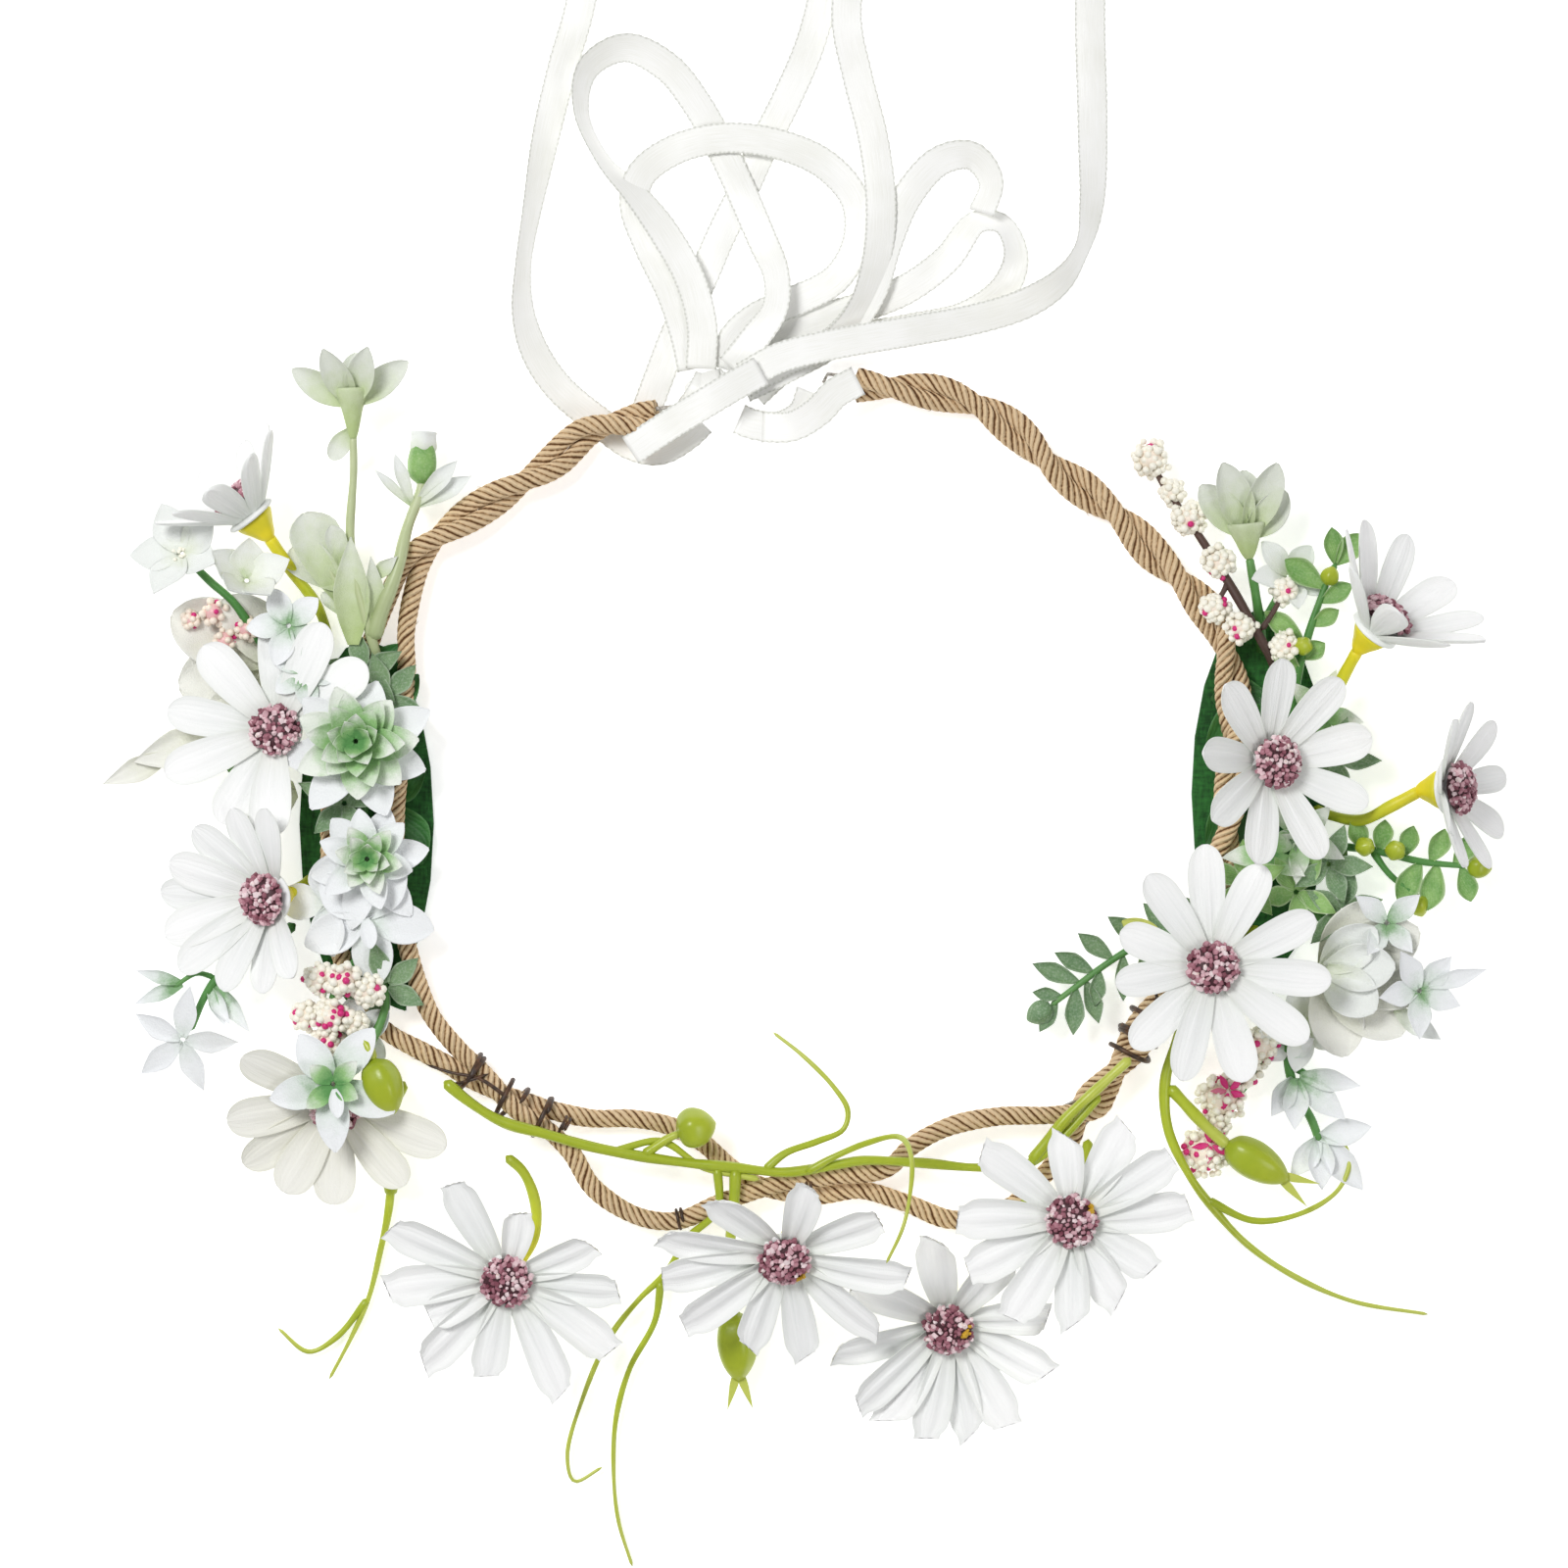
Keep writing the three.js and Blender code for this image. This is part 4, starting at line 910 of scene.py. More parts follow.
# ---- camera and light
@dataclass
class Studio:
    """A white table seen from straight above, with soft light all round."""

    middle: tuple[float, float] = (-6.7, 3.15)  # what the camera looks down at, in the crown's frame
    view_width: float = 336.0
    lens: float = 100.0
    sensor: float = 36.0
    aim_height: float = 10.0
    table_size: float = 6.0
    key_power: float = 6.3
    key_size: float = 0.32
    fill_strength: float = 0.36

    def add_camera(self, plan: Plan) -> None:
        """The camera, whose height gives the view its width at the height of the flowers."""
        camera = bpy.data.cameras.new("camera")
        camera.lens, camera.sensor_width = self.lens, self.sensor
        seen = bpy.data.objects.new("camera", camera)
        height = self.view_width * self.lens / self.sensor + self.aim_height
        seen.location = plan.row(np.array([*self.middle, height]))
        bpy.context.scene.collection.objects.link(seen)
        bpy.context.scene.camera = seen

    def add_table(self) -> None:
        """A square pale table top just under the crown."""
        half = self.table_size / 2
        corners = [(-half, -half, 0), (half, -half, 0), (half, half, 0), (-half, half, 0)]
        mesh = bpy.data.meshes.new("table")
        mesh.from_pydata(corners, [], [(0, 1, 2, 3)])
        g = Graph("table_top")
        blotch = g.noise(60, 2)
        colour = g.ramp(blotch, (0.3, srgb(0xF9F9F9)), (0.7, srgb(0xFDFDFD)))
        mesh.materials.append(g.finish(colour, 0.9, Emission_Color=(1.0, 1.0, 1.0, 1.0),
                                       Emission_Strength=0.5))
        table = bpy.data.objects.new("table", mesh)
        bpy.context.scene.collection.objects.link(table)

    def add_lights(self, plan: Plan) -> None:
        """A broad key from the upper left, a weaker one from the right, and an even white room."""
        world = bpy.data.worlds.new("room")
        world.use_nodes = True
        background = world.node_tree.nodes["Background"]
        background.inputs["Color"].default_value = (1.0, 1.0, 1.0, 1.0)
        background.inputs["Strength"].default_value = self.fill_strength
        bpy.context.scene.world = world
        places = {"key": ((-420, 360, 900), 1.0), "side": ((520, -260, 700), 0.22)}
        for name, (place, share) in places.items():
            light = bpy.data.lights.new(name, "AREA")
            light.energy, light.size = self.key_power * share, self.key_size
            lamp = bpy.data.objects.new(name, light)
            lamp.location = plan.row(np.array(place, float))
            towards = Vector(plan.row(np.zeros(3))) - lamp.location
            lamp.rotation_euler = towards.to_track_quat("-Z", "Y").to_euler()
            bpy.context.scene.collection.objects.link(lamp)

    def build(self, plan: Plan) -> None:
        """Camera, table, lights and plain colour handling."""
        self.add_camera(plan)
        self.add_table()
        self.add_lights(plan)
        bpy.context.scene.view_settings.view_transform = "Standard"


# ---- ribbon
@dataclass
class Ribbons:
    """Quarter-inch satin: nine stretches and the wrapped knot that holds them."""

    width: float = 6.6
    thickness: float = 0.28
    layer: float = 1.1
    table_gap: float = 0.8
    step: float = 0.9
    picot: float = 0.14  # height of the woven edge's teeth
    knot_centre: tuple[float, float] = (-22.4, 88.0)

    def height(self, number: float) -> float:
        """The height of that layer of crossing ribbon."""
        return self.table_gap + number * self.layer

    def route(self, points: Route) -> Array:
        """The smooth line through points whose fourth number, if any, is the roll in degrees."""
        return smooth([(*point, 0.0)[:4] for point in points], self.step)

    def routes(self) -> dict[str, tuple[str, Route]]:
        """Each stretch's far end and its points: x, y, height, and roll from flat in degrees."""
        h = self.height
        return {
            "ribbon_tail_left": ("bare", [
                (-24.6, 81.4, 3.2), (-27.8, 78.4, 2.6), (-33.5, 75.4, 1.6), (-39.5, 76.4, 0.8),
                (-46, 81, 0.8), (-55.5, 89, 0.8, 6), (-60.5, 96.5, 1.5, 20), (-63, 105, 2.9, 45),
                (-63, 114.5, 3.8, 62), (-61, 128, 3.6, 55), (-58, 144, 2.4, 28), (-54.5, 158.5, 1.4, 12),
                (-51, 171, 0.8), (-48, 190, 0.8), (-47, 215, 0.8), (-49, 238, 0.8)]),
            "ribbon_tail_second": ("bare", [
                (-36.5, 84, 0.8), (-33.5, 92, 0.8), (-30, 101, 0.8), (-24.6, 112, 0.8), (-20.4, 121.8, 0.8),
                (-15.6, 131.5, 0.8), (-10.9, 141.8, 0.8), (-5.7, 152.3, 0.8), (-0.8, 164, 0.8),
                (2.4, 178, 0.8), (3, 200, 0.8), (1, 228, 0.8)]),
            "ribbon_tail_third": ("bare", [
                (-15.4, 89.4, h(4)), (-6, 94.5, h(4), 10), (4, 98.5, h(4), 25), (9.8, 106, h(4), 35),
                (13.2, 116, h(4), 20), (14.2, 127, h(4), 5), (12.6, 141.8, h(3)), (9, 156.5, h(2)),
                (6.8, 168, h(2)), (8.5, 184, h(1)), (14, 205, 0.8), (21, 230, 0.8)]),
            "ribbon_tail_right": ("bare", [
                (-15.4, 90.6, h(6)), (-8, 94.6, h(6)), (3.8, 97.6, h(6)), (20.6, 100.6, h(5)),
                (35.3, 103.6, h(3)), (45.8, 107, 4.2, 12), (53, 111.7, 4.4, 38), (57.3, 118.2, 4, 58),
                (59.6, 128, 2.6, 34), (60, 146, 1.2, 6), (59.5, 171, 0.8), (60.5, 196, 0.8), (64, 226, 0.8)]),
            "ribbon_loop_upper": ("object", [
                (-24.6, 92.7, h(3)), (-24.4, 102, h(3)), (-27, 112, h(3)), (-32.5, 122, h(3), 10),
                (-38.5, 130, 4.2, 35), (-45.5, 137.5, 4.2, 60), (-50.4, 148, 4.2, 62),
                (-49, 157.5, 4.2, 48), (-41, 162, 4, 30), (-32, 158, 3, 8), (-25.5, 150, 2.2),
                (-20.5, 141, h(1)), (-15.6, 130.5, h(1)), (-11.6, 121, 3.4, 10), (-8.4, 113, h(4), 30),
                (-8.6, 105.5, h(5), 30), (-13, 99, h(5), 10), (-18, 92.7, h(5))]),
            "ribbon_loop_arch": ("object", [
                (-26.4, 92.7, h(2)), (-28, 100, h(2)), (-31, 109, h(2)), (-36, 119.5, h(2)),
                (-39, 128, h(2), 12), (-37.6, 134.6, h(2), 14), (-30.5, 140, h(2)), (-20, 142.6, h(2)),
                (-8.5, 141.4, h(2)), (2, 137, h(2), 8), (8.5, 129.5, h(2), 20), (9, 120.5, h(2), 20),
                (4.6, 112.4, h(2), 10), (-4, 107.6, h(2)), (-12.5, 104, h(2)), (-17.5, 99.5, h(2)),
                (-19.6, 92.7, h(2))]),
            "ribbon_loop_right": ("object", [
                (-15.4, 88.6, h(3)), (-6, 93, h(3)), (5, 99.5, h(3)), (12, 109, h(3)), (15.6, 120, h(3)),
                (20, 130, h(3)), (27, 137.6, h(3), 12), (34, 138.6, h(3), 30), (38, 133, h(3), 40),
                (36, 126.4, h(3), 30)]),
            "ribbon_loop_outer": ("object", [
                (-13.2, 87.6, h(0)), (-7, 93, h(0)), (4, 98.5, h(0)), (20, 101.6, h(0)), (33, 104.6, h(0)),
                (41, 110.4, 1.4, 14), (43.4, 117.6, 2.4, 34), (40.5, 124, 2.6, 42), (35, 124.5, 2.4, 34),
                (28.5, 116.6, h(1), 12), (19.5, 110, h(1)), (8, 105.6, h(1)), (-3.5, 102.4, h(1)),
                (-12, 97, h(1)), (-15.4, 91.4, h(1))]),
        }

    def add_link(self, plan: Plan) -> bpy.types.Object:
        """The short stretch that ties the knot to the right arm, under the two tails."""
        h = self.height
        points = [(-16.4, 82, h(2)), (-13.4, 80.8, h(2)), (-7.6, 80.4, h(2)),
                  (-2.8, 83, h(3)), (-0.8, 87.6, BAND_Z)]
        piece = Piece("ribbon_link", slot="satin")
        hooked = [(-11.4, 80.2, h(2)), (-5, 80.2, 5.2), (0.4, 83, 8.2), (4.4, 87, 9.8, 6),
                  (9.2, 89.6, 9.9)]
        piece.add(self.strip(self.route(points)), self.strip(self.route(hooked)))
        return piece.build(plan, Finish.SATIN.use())

    def strip(self, route: Array) -> Patch:
        """A flat band along the route.

        The section is an ellipse-ended bar, width across by thickness, turned by the roll; its
        edges are scalloped by a small cosine along the way, which are the loops of the weave.

        Args:
            route: points with the roll in degrees as the fourth column.

        Returns:
            The closed band, whose uv is (across, millimetres along / 10).
        """
        _, side, over = directions(route, UP)
        roll = np.radians(route[:, 3])[:, None]
        across = side * np.cos(roll) + over * np.sin(roll)
        normal = over * np.cos(roll) - side * np.sin(roll)
        spots = np.array([1, 0.97, 0.6, 0.2, -0.2, -0.6, -0.97, -1])
        swell = np.sqrt(1 - 0.8 * spots**2) * self.thickness / 2
        u, lift = np.append(spots, spots[::-1]), np.append(swell, -swell[::-1])
        along = np.arange(len(route)) * self.step
        teeth = 1 + self.picot / self.width * np.cos(2 * np.pi * along / 1.8)[:, None]
        sag = 0.12 * np.sin(along / 11.0)[:, None] * (u**2 - 0.4)[None]
        grid = (route[:, None, :3] + across[:, None] * (self.width / 2 * u * teeth)[..., None]
                + normal[:, None] * (lift[None] + sag)[..., None])
        return closed(grid, 0.5 - 0.5 * np.append(u, u[0]), along / 10)

    def add_stretch(self, plan: Plan, name: str, points: Route,
                    on_it: Sequence[bpy.types.Object] = ()) -> None:
        """One stretch, made as a flat band along its route."""
        route = self.route(points)
        piece = Piece(name, slot="satin").add(self.strip(route))
        strip = piece.build(plan, Finish.SATIN.use())
        self.width * MM

    def wrap(self, centre: Array, axis: Array, radii: tuple[float, float], turn: float,
             length: float) -> Patch:
        """A band wrapped most of the way round an oval, leaning by `turn` along its axis.

        The centre line is centre + a cos(t) across + b sin(t) up + lean t along the axis.
        """
        t = np.linspace(math.radians(-52), math.radians(232), 46)
        axis = unit(axis)
        across = unit(np.cross(UP, axis))
        line = (centre + across * (radii[0] * np.cos(t))[:, None]
                + UP * (radii[1] * np.sin(t))[:, None] + axis * (turn * t / np.pi)[:, None])
        along = unit(np.gradient(line, axis=0))
        spots = np.array([1, 0.6, 0.2, -0.2, -0.6, -1])
        outward = unit(line - centre - axis * ((line - centre) @ axis)[:, None])
        wide = np.cross(along, outward)
        u, lift = np.append(spots, spots[::-1]), np.repeat([0.14, -0.14], 6)
        pinch = 1 - 0.18 * np.sin(t)[:, None] ** 2
        grid = (line[:, None] + wide[:, None] * (length / 2 * u * pinch)[..., None]
                + outward[:, None] * (lift + 0.35 * (1 - u**2) - 0.2)[None, :, None])
        return closed(grid[:, ::-1], 0.5 - 0.5 * np.append(u, u[0]), np.arange(len(t)) * 0.05)

    def add_knot(self, plan: Plan) -> None:
        """Three crossing wraps over a filled middle, with a folded end lying over the twine."""
        centre = np.array([*self.knot_centre, 4.2])
        piece = Piece("ribbon_knot", slot="satin")
        core = lathe([(0.2, -6), (2.6, -5), (3.5, 0), (2.6, 5), (0.2, 6)], 16)
        piece.add(core.placed(centre, np.array([1, 0.25, 0]), UP))
        for shift, axis, radii, lean, wide in (
                ((0, 0, 0), (1.0, 0.35, 0), (3.9, 4.1), 0.4, 6.4),
                ((-2.4, -0.4, 0), (1.0, -0.5, 0), (3.7, 3.8), -0.6, 5.6),
                ((2.8, 0.5, -0.2), (0.8, 0.9, 0), (3.6, 3.5), 0.5, 5.2)):
            piece.add(self.wrap(centre + shift, np.array(axis), radii, lean, wide))
        folded = [(-39.7, 74.8, 7.6), (-34.4, 78.2, 8.9), (-29, 81.6, 9.4), (-23.6, 84.8, 9.8),
                  (-18, 88.2, 9.8, 4), (-11.6, 91.8, 9.2, 4)]
        piece.add(self.strip(self.route(folded)))
        piece.build(plan, Finish.SATIN.use())

    def build(self, plan: Plan) -> None:
        """Every stretch and the knot."""
        link = self.add_link(plan)
        for name, (far_end, points) in self.routes().items():
            self.add_stretch(plan, name, points, [link] if name == "ribbon_tail_third" else [])
        self.add_knot(plan)


# ---- the twine band
@dataclass
class Band:
    """Two plied twine strands wound on each other, parted at the clusters and in front."""

    radius: float = 2.05
    step: float = 0.5
    sides: int = 36
    plies: int = PLIES
    ply_pitch: float = PLY_PITCH
    groove: float = 0.16
    tie_radius: float = 0.55
    tie_pitch: float = 2.2
    left_arm: Trace = (
        (-34, 82), (-40.3, 81.3), (-48.7, 79.2), (-57, 72), (-65.5, 66.6), (-76, 60), (-84.4, 53.6),
        (-88.6, 47))
    left_inner: Trace = (
        (-88, 36.8), (-88, 26.3), (-89, 12), (-90.5, -7), (-90, -20), (-87.5, -33), (-83, -46))
    left_outer: Trace = (
        (-96, 33), (-101, 21), (-103.5, 7.5), (-104.5, -9.5), (-103.5, -26), (-100, -40), (-93, -49.5),
        (-84.5, -54.5))
    left_join: Trace = (
        (-77.5, -56), (-69.7, -62), (-63.4, -66.2), (-56, -69.6))
    front_upper: Trace = (
        (-48, -69), (-40, -69), (-32, -70.4), (-24.6, -74), (-18.3, -79.5), (-12, -83.4),
        (-0.4, -85.5), (10, -84.5), (19.5, -87.2), (30, -90.9), (41.6, -88.2), (50, -80.5),
        (55.5, -73))
    front_lower: Trace = (
        (-52.5, -76), (-47.7, -83.6), (-38.2, -89.7), (-29.8, -90.7), (-19.3, -86.5), (-8.8, -83),
        (3.8, -81), (15.3, -79.5), (21, -74.5), (29, -70.4), (39.5, -68.3), (51, -68))
    right_arm: Trace = (
        (59.5, -65.5), (66.8, -55.7), (72, -47.3), (76.2, -40), (81.5, -30.5), (86.7, -18), (89.5, -1),
        (90.3, 15.8), (89.5, 26.3), (86.7, 36.8), (80.4, 45.2), (73, 52.5), (66.8, 59.4), (58.4, 66.2),
        (52, 70.8), (43.7, 78.8), (35.3, 84.6), (24.8, 87.6), (14.3, 88.6), (6, 89.2))

    def level(self, points: Route, height: float) -> Array:
        """Plan points at one height."""
        flat = np.asarray(points, float)
        return np.column_stack([flat, np.full(len(flat), height)])

    def wound(self, points: Route) -> list[Array]:
        """The two strands wound on a line: offset by a circle of the twist's radius, half a turn apart."""
        line = smooth(self.level(points, BAND_Z), 1.0)
        along = unit(np.gradient(line, axis=0))
        side = unit(np.cross(UP, along))
        half_turns = max(1, round(2 * (len(line) - 1) / TWIST_PITCH))
        angle = np.linspace(0, half_turns * math.pi, len(line))
        return [line + TWIST_RADIUS * (side * np.cos(angle + turn)[:, None]
                                       + UP * np.sin(angle + turn)[:, None])
                for turn in (0.0, math.pi)]

    def strands(self) -> list[Array]:
        """Both strands from the left end to the right end, each a smooth line."""
        arm, join, right = (self.wound(p) for p in (self.left_arm, self.left_join, self.right_arm))
        cluster = [self.level(p, BAND_Z) for p in (self.left_inner, self.left_outer)]
        front = [self.level(self.front_upper, BAND_Z - CROSSING_LIFT),
                 self.level(self.front_lower, BAND_Z + CROSSING_LIFT)]
        starts = sorted(arm, key=lambda s: float(np.hypot(*s[-1, :2])))
        inner_first = sorted(range(2), key=lambda k: float(np.hypot(*join[k][-1, :2])))
        ends = sorted(right, key=lambda s: float(np.hypot(*s[-1, :2])))
        routes = []
        for k in range(2):
            side = inner_first.index(k)
            parts = [starts[k][::4], cluster[k], join[k][::4], front[side], ends[1 - side][::4]]
            routes.append(smooth(np.vstack(parts), self.step))
        return routes

    def strand(self, route: Array) -> Patch:
        """A plied strand: radius times (1 - groove (1 - |cos(plies (angle / 2 - pi way / pitch))|))."""
        way = np.arange(len(route)) * self.step
        angle = 2 * np.pi * np.arange(self.sides) / self.sides
        phase = self.plies * (angle[None] / 2 - np.pi * way[:, None] / self.ply_pitch)
        round_ = np.abs(np.cos(phase)) ** 0.55
        slow = 1 + 0.035 * np.sin(way / 4.7) + 0.02 * np.sin(way / 1.9)
        radius = self.radius * (1 - self.groove * (1 - round_)) * slow[:, None]
        tone = np.clip(1.15 * round_ ** 1.6, 0, 1)
        return tube(route, radius, self.sides, tone, rounded=False)

    def fibres(self, route: Array, rng: np.random.Generator, count: int = 90) -> list[Patch]:
        """Short loose fibres that stand off a strand."""
        spots = rng.integers(8, len(route) - 8, count)
        made = []
        for spot in spots:
            out = unit(np.append(rng.normal(size=2), abs(rng.normal()) * 0.6))
            along = unit(route[spot + 2, :3] - route[spot - 2, :3])
            foot = route[spot, :3] + out * self.radius * 0.9
            tip = foot + along * rng.uniform(-1.6, 1.6) + out * rng.uniform(0.3, 0.9)
            middle = (foot + tip) / 2 + out * 0.25
            made.append(twig([foot, middle, tip], 0.07, 0.04, 0.5, 4, (0.7, 0.9)))
        return made

    def add_strands(self, plan: Plan) -> None:
        """Both strands, each replacing its CAD node."""
        names = ("twine_strand_inner", "twine_strand_outer")
        rng = np.random.default_rng(11)
        for name, route in zip(names, self.strands()):
            piece = Piece(name, slot="twine").add(self.strand(route))
            piece.add(*self.fibres(route, rng))
            piece.build(plan, Finish.TWINE.use())

    def helix(self, centre: Spot, heading: float, turns: float, radius: float, count: int,
              pitch: float, lean: float = 0.0) -> Array:
        """A wire's line: a helix whose pitch varies by lean times the cosine of half its angle."""
        turn = math.radians(heading)
        along = np.array([math.cos(turn), math.sin(turn), 0.0])
        side = np.array([-along[1], along[0], 0.0])
        angle = np.linspace(0, 2 * math.pi * turns, count)
        run = pitch * (angle / 2 / math.pi - turns / 2) + lean * np.cos(angle * 0.5)
        return (np.asarray(centre) + along * run[:, None] + side * (radius * np.cos(angle))[:, None]
                + UP * (radius * np.sin(angle))[:, None])

    def wraps(self, centre: tuple[float, float], heading: float, turns: float, lean: float) -> Patch:
        """A tie's wire wound round the band."""
        return tube(self.helix((*centre, BAND_Z), heading, turns, BAND_RADIUS + GAP + self.tie_radius,
                               round(turns * 26), self.tie_pitch, lean), self.tie_radius, 8)

    def add_ties(self, plan: Plan) -> None:
        """The wire ties, with loose ends, and thinner turns further along the band."""
        wire = Finish.WIRE.use()
        left = Piece("wire_tie_left", slot="floral_wire")
        left.add(self.wraps((-73.9, -59.2), -36, 1.3, 1.6), self.wraps((-65.8, -65.2), -36, 1.2, -0.9),
                 self.wraps((-58.6, -68.6), -26, 1.2, 0.9),
                 twig([(-66, -64, 10.0), (-72, -60, 9.6), (-78, -58.8, 8.6), (-83.5, -57.2, 7.2)],
                      0.45, 0.3, tones=(0.5, 0.5)),
                 twig([(-70, -59, 9.4), (-74.5, -60.5, 9.8), (-79, -61.5, 8.2)], 0.4, 0.3,
                      tones=(0.5, 0.5)))
        left.build(plan, wire)
        right = Piece("wire_tie_right", slot="floral_wire")
        right.add(self.wraps((70.4, -49.8), 58, 2.4, 1.2), self.wraps((68.4, -53.5), 54, 1.3, -0.9),
                  twig([(70, -48, 9.6), (73.2, -44.5, 9.9), (72.2, -38.5, 9.4)], 0.45, 0.3,
                       tones=(0.5, 0.5)))
        right.build(plan, wire)
        turns = Piece("wire_tie_front", slot="floral_wire")
        for x, y, heading in ((-29, -90.3, 8), (-1.5, -83.5, -4), (-54, -70.4, -32)):
            turns.add(tube(self.helix((x, y, BAND_Z + CROSSING_LIFT), heading, 1.3, 2.15, 40, 1), 0.35, 7))
        turns.build(plan, wire)

    def build(self, plan: Plan) -> None:
        """Strands, ties, and the finishes of the wire core and the felt pads."""
        self.add_strands(plan)
        self.add_ties(plan)
        for node, finish in (("wire_core", Finish.STEEL), ("felt_pad_left", Finish.FELT),
                             ("felt_pad_right", Finish.FELT)):
            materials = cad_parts[node].data.materials
            materials.clear()
            materials.append(finish.use())


# ---- daisies
class Cut(Enum):
    """How a daisy's petals are pressed: smooth and round, or furrowed with a torn tip."""

    SMOOTH = (0.14, 2.0, 0.0, 1.0)
    FURROWED = (0.42, 2.0, 0.3, 0.8)


@dataclass
class Daisy:
    """A fabric daisy: a ring of petals, a button of crumbs and a calyx on its stem."""

    name: str
    at: tuple[float, float, float]
    face: tuple[float, float]
    cup: float
    petals: Spot  # each petal's direction in degrees and its reach
    stem: Route
    turning: bool = False
    stem_body: str = "crown"
    cut: Cut = Cut.SMOOTH
    finish: Finish = Finish.PETAL
    gold: tuple[float, float, float] | None = None  # x, y and reach of a gold patch on the button
    width: float = 7.6
    hub: float = 2.6
    petal_thickness: float = 1.0
    button_radius: float = 4.6
    button_swell: float = 1.18
    button_height: float = 3.4
    stem_radius: float = 1.1
    cup_depth: float = 5.5
    cup_radius: float = 4.0
    seed: int = 0

    def __post_init__(self) -> None:
        """Works out the head's axis and the height of its button."""
        self.axis = unit(np.array([self.face[0], self.face[1], 1.0]))
        reference = np.array([1.0, 0.0, 0.0])
        self.right, self.ahead = self.turned(reference), self.turned(np.array([0.0, 1.0, 0.0]))
        rise = self.button_radius * math.sin(math.radians(self.cup))
        self.button_seat = self.petal_thickness + GAP + rise
        self.rng = np.random.default_rng(100 + self.seed)

    def turned(self, vector: Array) -> Array:
        """A vector turned as the shortest turn from straight up to the head's axis does."""
        pivot = np.cross(UP, self.axis)
        cosine = float(UP @ self.axis)
        return vector + np.cross(pivot, vector) + np.cross(pivot, np.cross(pivot, vector)) / (1 + cosine)

    def point(self, x: float | Array, y: float | Array, z: float | Array) -> Array:
        """A point given in the head's own frame, as a crown point."""
        parts = [np.asarray(v, float)[..., None] * d
                 for v, d in ((x, self.right), (y, self.ahead), (z, self.axis))]
        return np.asarray(self.at, float) + parts[0] + parts[1] + parts[2]

    def petal_patches(self) -> list[Patch]:
        """Each petal, leaning up by the cup angle, with a little chance in its bend and twist."""
        ridge, furrows, ragged, roundness = self.cut.value
        cup = math.radians(self.cup)
        made = []
        for number, (degrees, reach) in enumerate(sorted(zip(self.petals[::2], self.petals[1::2]))):
            chance = self.rng.uniform(-1, 1, 6)
            angle = math.radians(degrees)
            radial = self.right * math.cos(angle) + self.ahead * math.sin(angle)
            lean = cup + math.radians(2.5) * chance[0]
            along = radial * math.cos(lean) + self.axis * math.sin(lean)
            length = (reach - self.hub) / max(math.cos(cup), 0.8)
            width = self.width * (1.1 if ragged else 1.0) * (1 + 0.08 * chance[1])
            width *= min(1.0, 0.55 + reach / 50)
            blade = Blade(length, width, shoulder=0.8 if ragged else 0.7, neck=0.42, roundness=roundness,
                          cup=0.1 * chance[2] + (0.2 if ragged else 0.08),
                          curl=(0.08 if ragged else 0.03) * chance[3],
                          ridge=ridge, furrows=furrows, ragged=ragged * (1 + 0.5 * chance[4]),
                          skew=6 * ragged * chance[5], blunt=0.7 if ragged else 0.0,
                          twist=(24 if ragged else 7) * chance[5],
                          sway=(0.09 if ragged else 0.03) * chance[0], thickness=0.75, rows=24,
                          columns=17)
            layer = 0.85 if number % 2 else 0.35
            foot = self.point(0, 0, layer) + radial * self.hub
            over = self.axis * math.cos(lean) - radial * math.sin(lean)
            made.append(blade.patch(0.5 + 0.4 * chance[1]).placed(foot, along, over))
        plate = lathe([(0.5, -0.1), (5.2, 0.1), (5.6, 0.5), (5.0, 1.0), (0.5, 1.1)], 24)
        made.append(plate.placed(self.point(0, 0, 0), self.axis, self.right))
        return made

    def button_patches(self) -> list[Patch]:
        """A dome painted dark as the shade in the gaps, crusted with crumbs spread by the golden angle and
        pushed about a little.
        """
        seat, height = self.button_seat, self.button_height
        radius = self.button_radius * self.button_swell
        dome = lathe([(0.3, seat - 0.6), (radius * 0.86, seat - 0.4), (radius * 0.9, seat + 0.8),
                      (radius * 0.62, seat + height * 0.72), (0.3, seat + height * 0.86)], 20)
        # the dome's near-black tone is painted shade, seen in the gaps between the crumbs
        dome.tone[:] = 0.02
        count = 135
        order = (np.arange(count) + 0.5) / count
        polar = np.arccos(1 - order * 0.96)
        turn = np.arange(count) * math.pi * (3 - math.sqrt(5)) + self.rng.uniform(0, 0.5, count)
        spread = radius * 0.96 * np.sin(polar) * (1 + self.rng.uniform(-0.05, 0.05, count))
        x, y = spread * np.cos(turn), spread * np.sin(turn)
        z = seat + 0.1 + (height - 0.5) * np.cos(polar) ** 0.8 + self.rng.uniform(-0.1, 0.25, count)
        tones = np.clip(self.rng.beta(0.9, 0.9, count) * 0.66 + 0.2, 0, 0.84)
        if self.gold:
            near = np.hypot(x - self.gold[0], y - self.gold[1]) < self.gold[2]
            tones = np.where(near, 1.0, tones)
        sizes = self.rng.uniform(0.5, 0.92, count)
        return [dome.placed(self.point(0, 0, 0), self.axis, self.right),
                crumbs(self.point(x, y, z), sizes, tones, self.rng)]

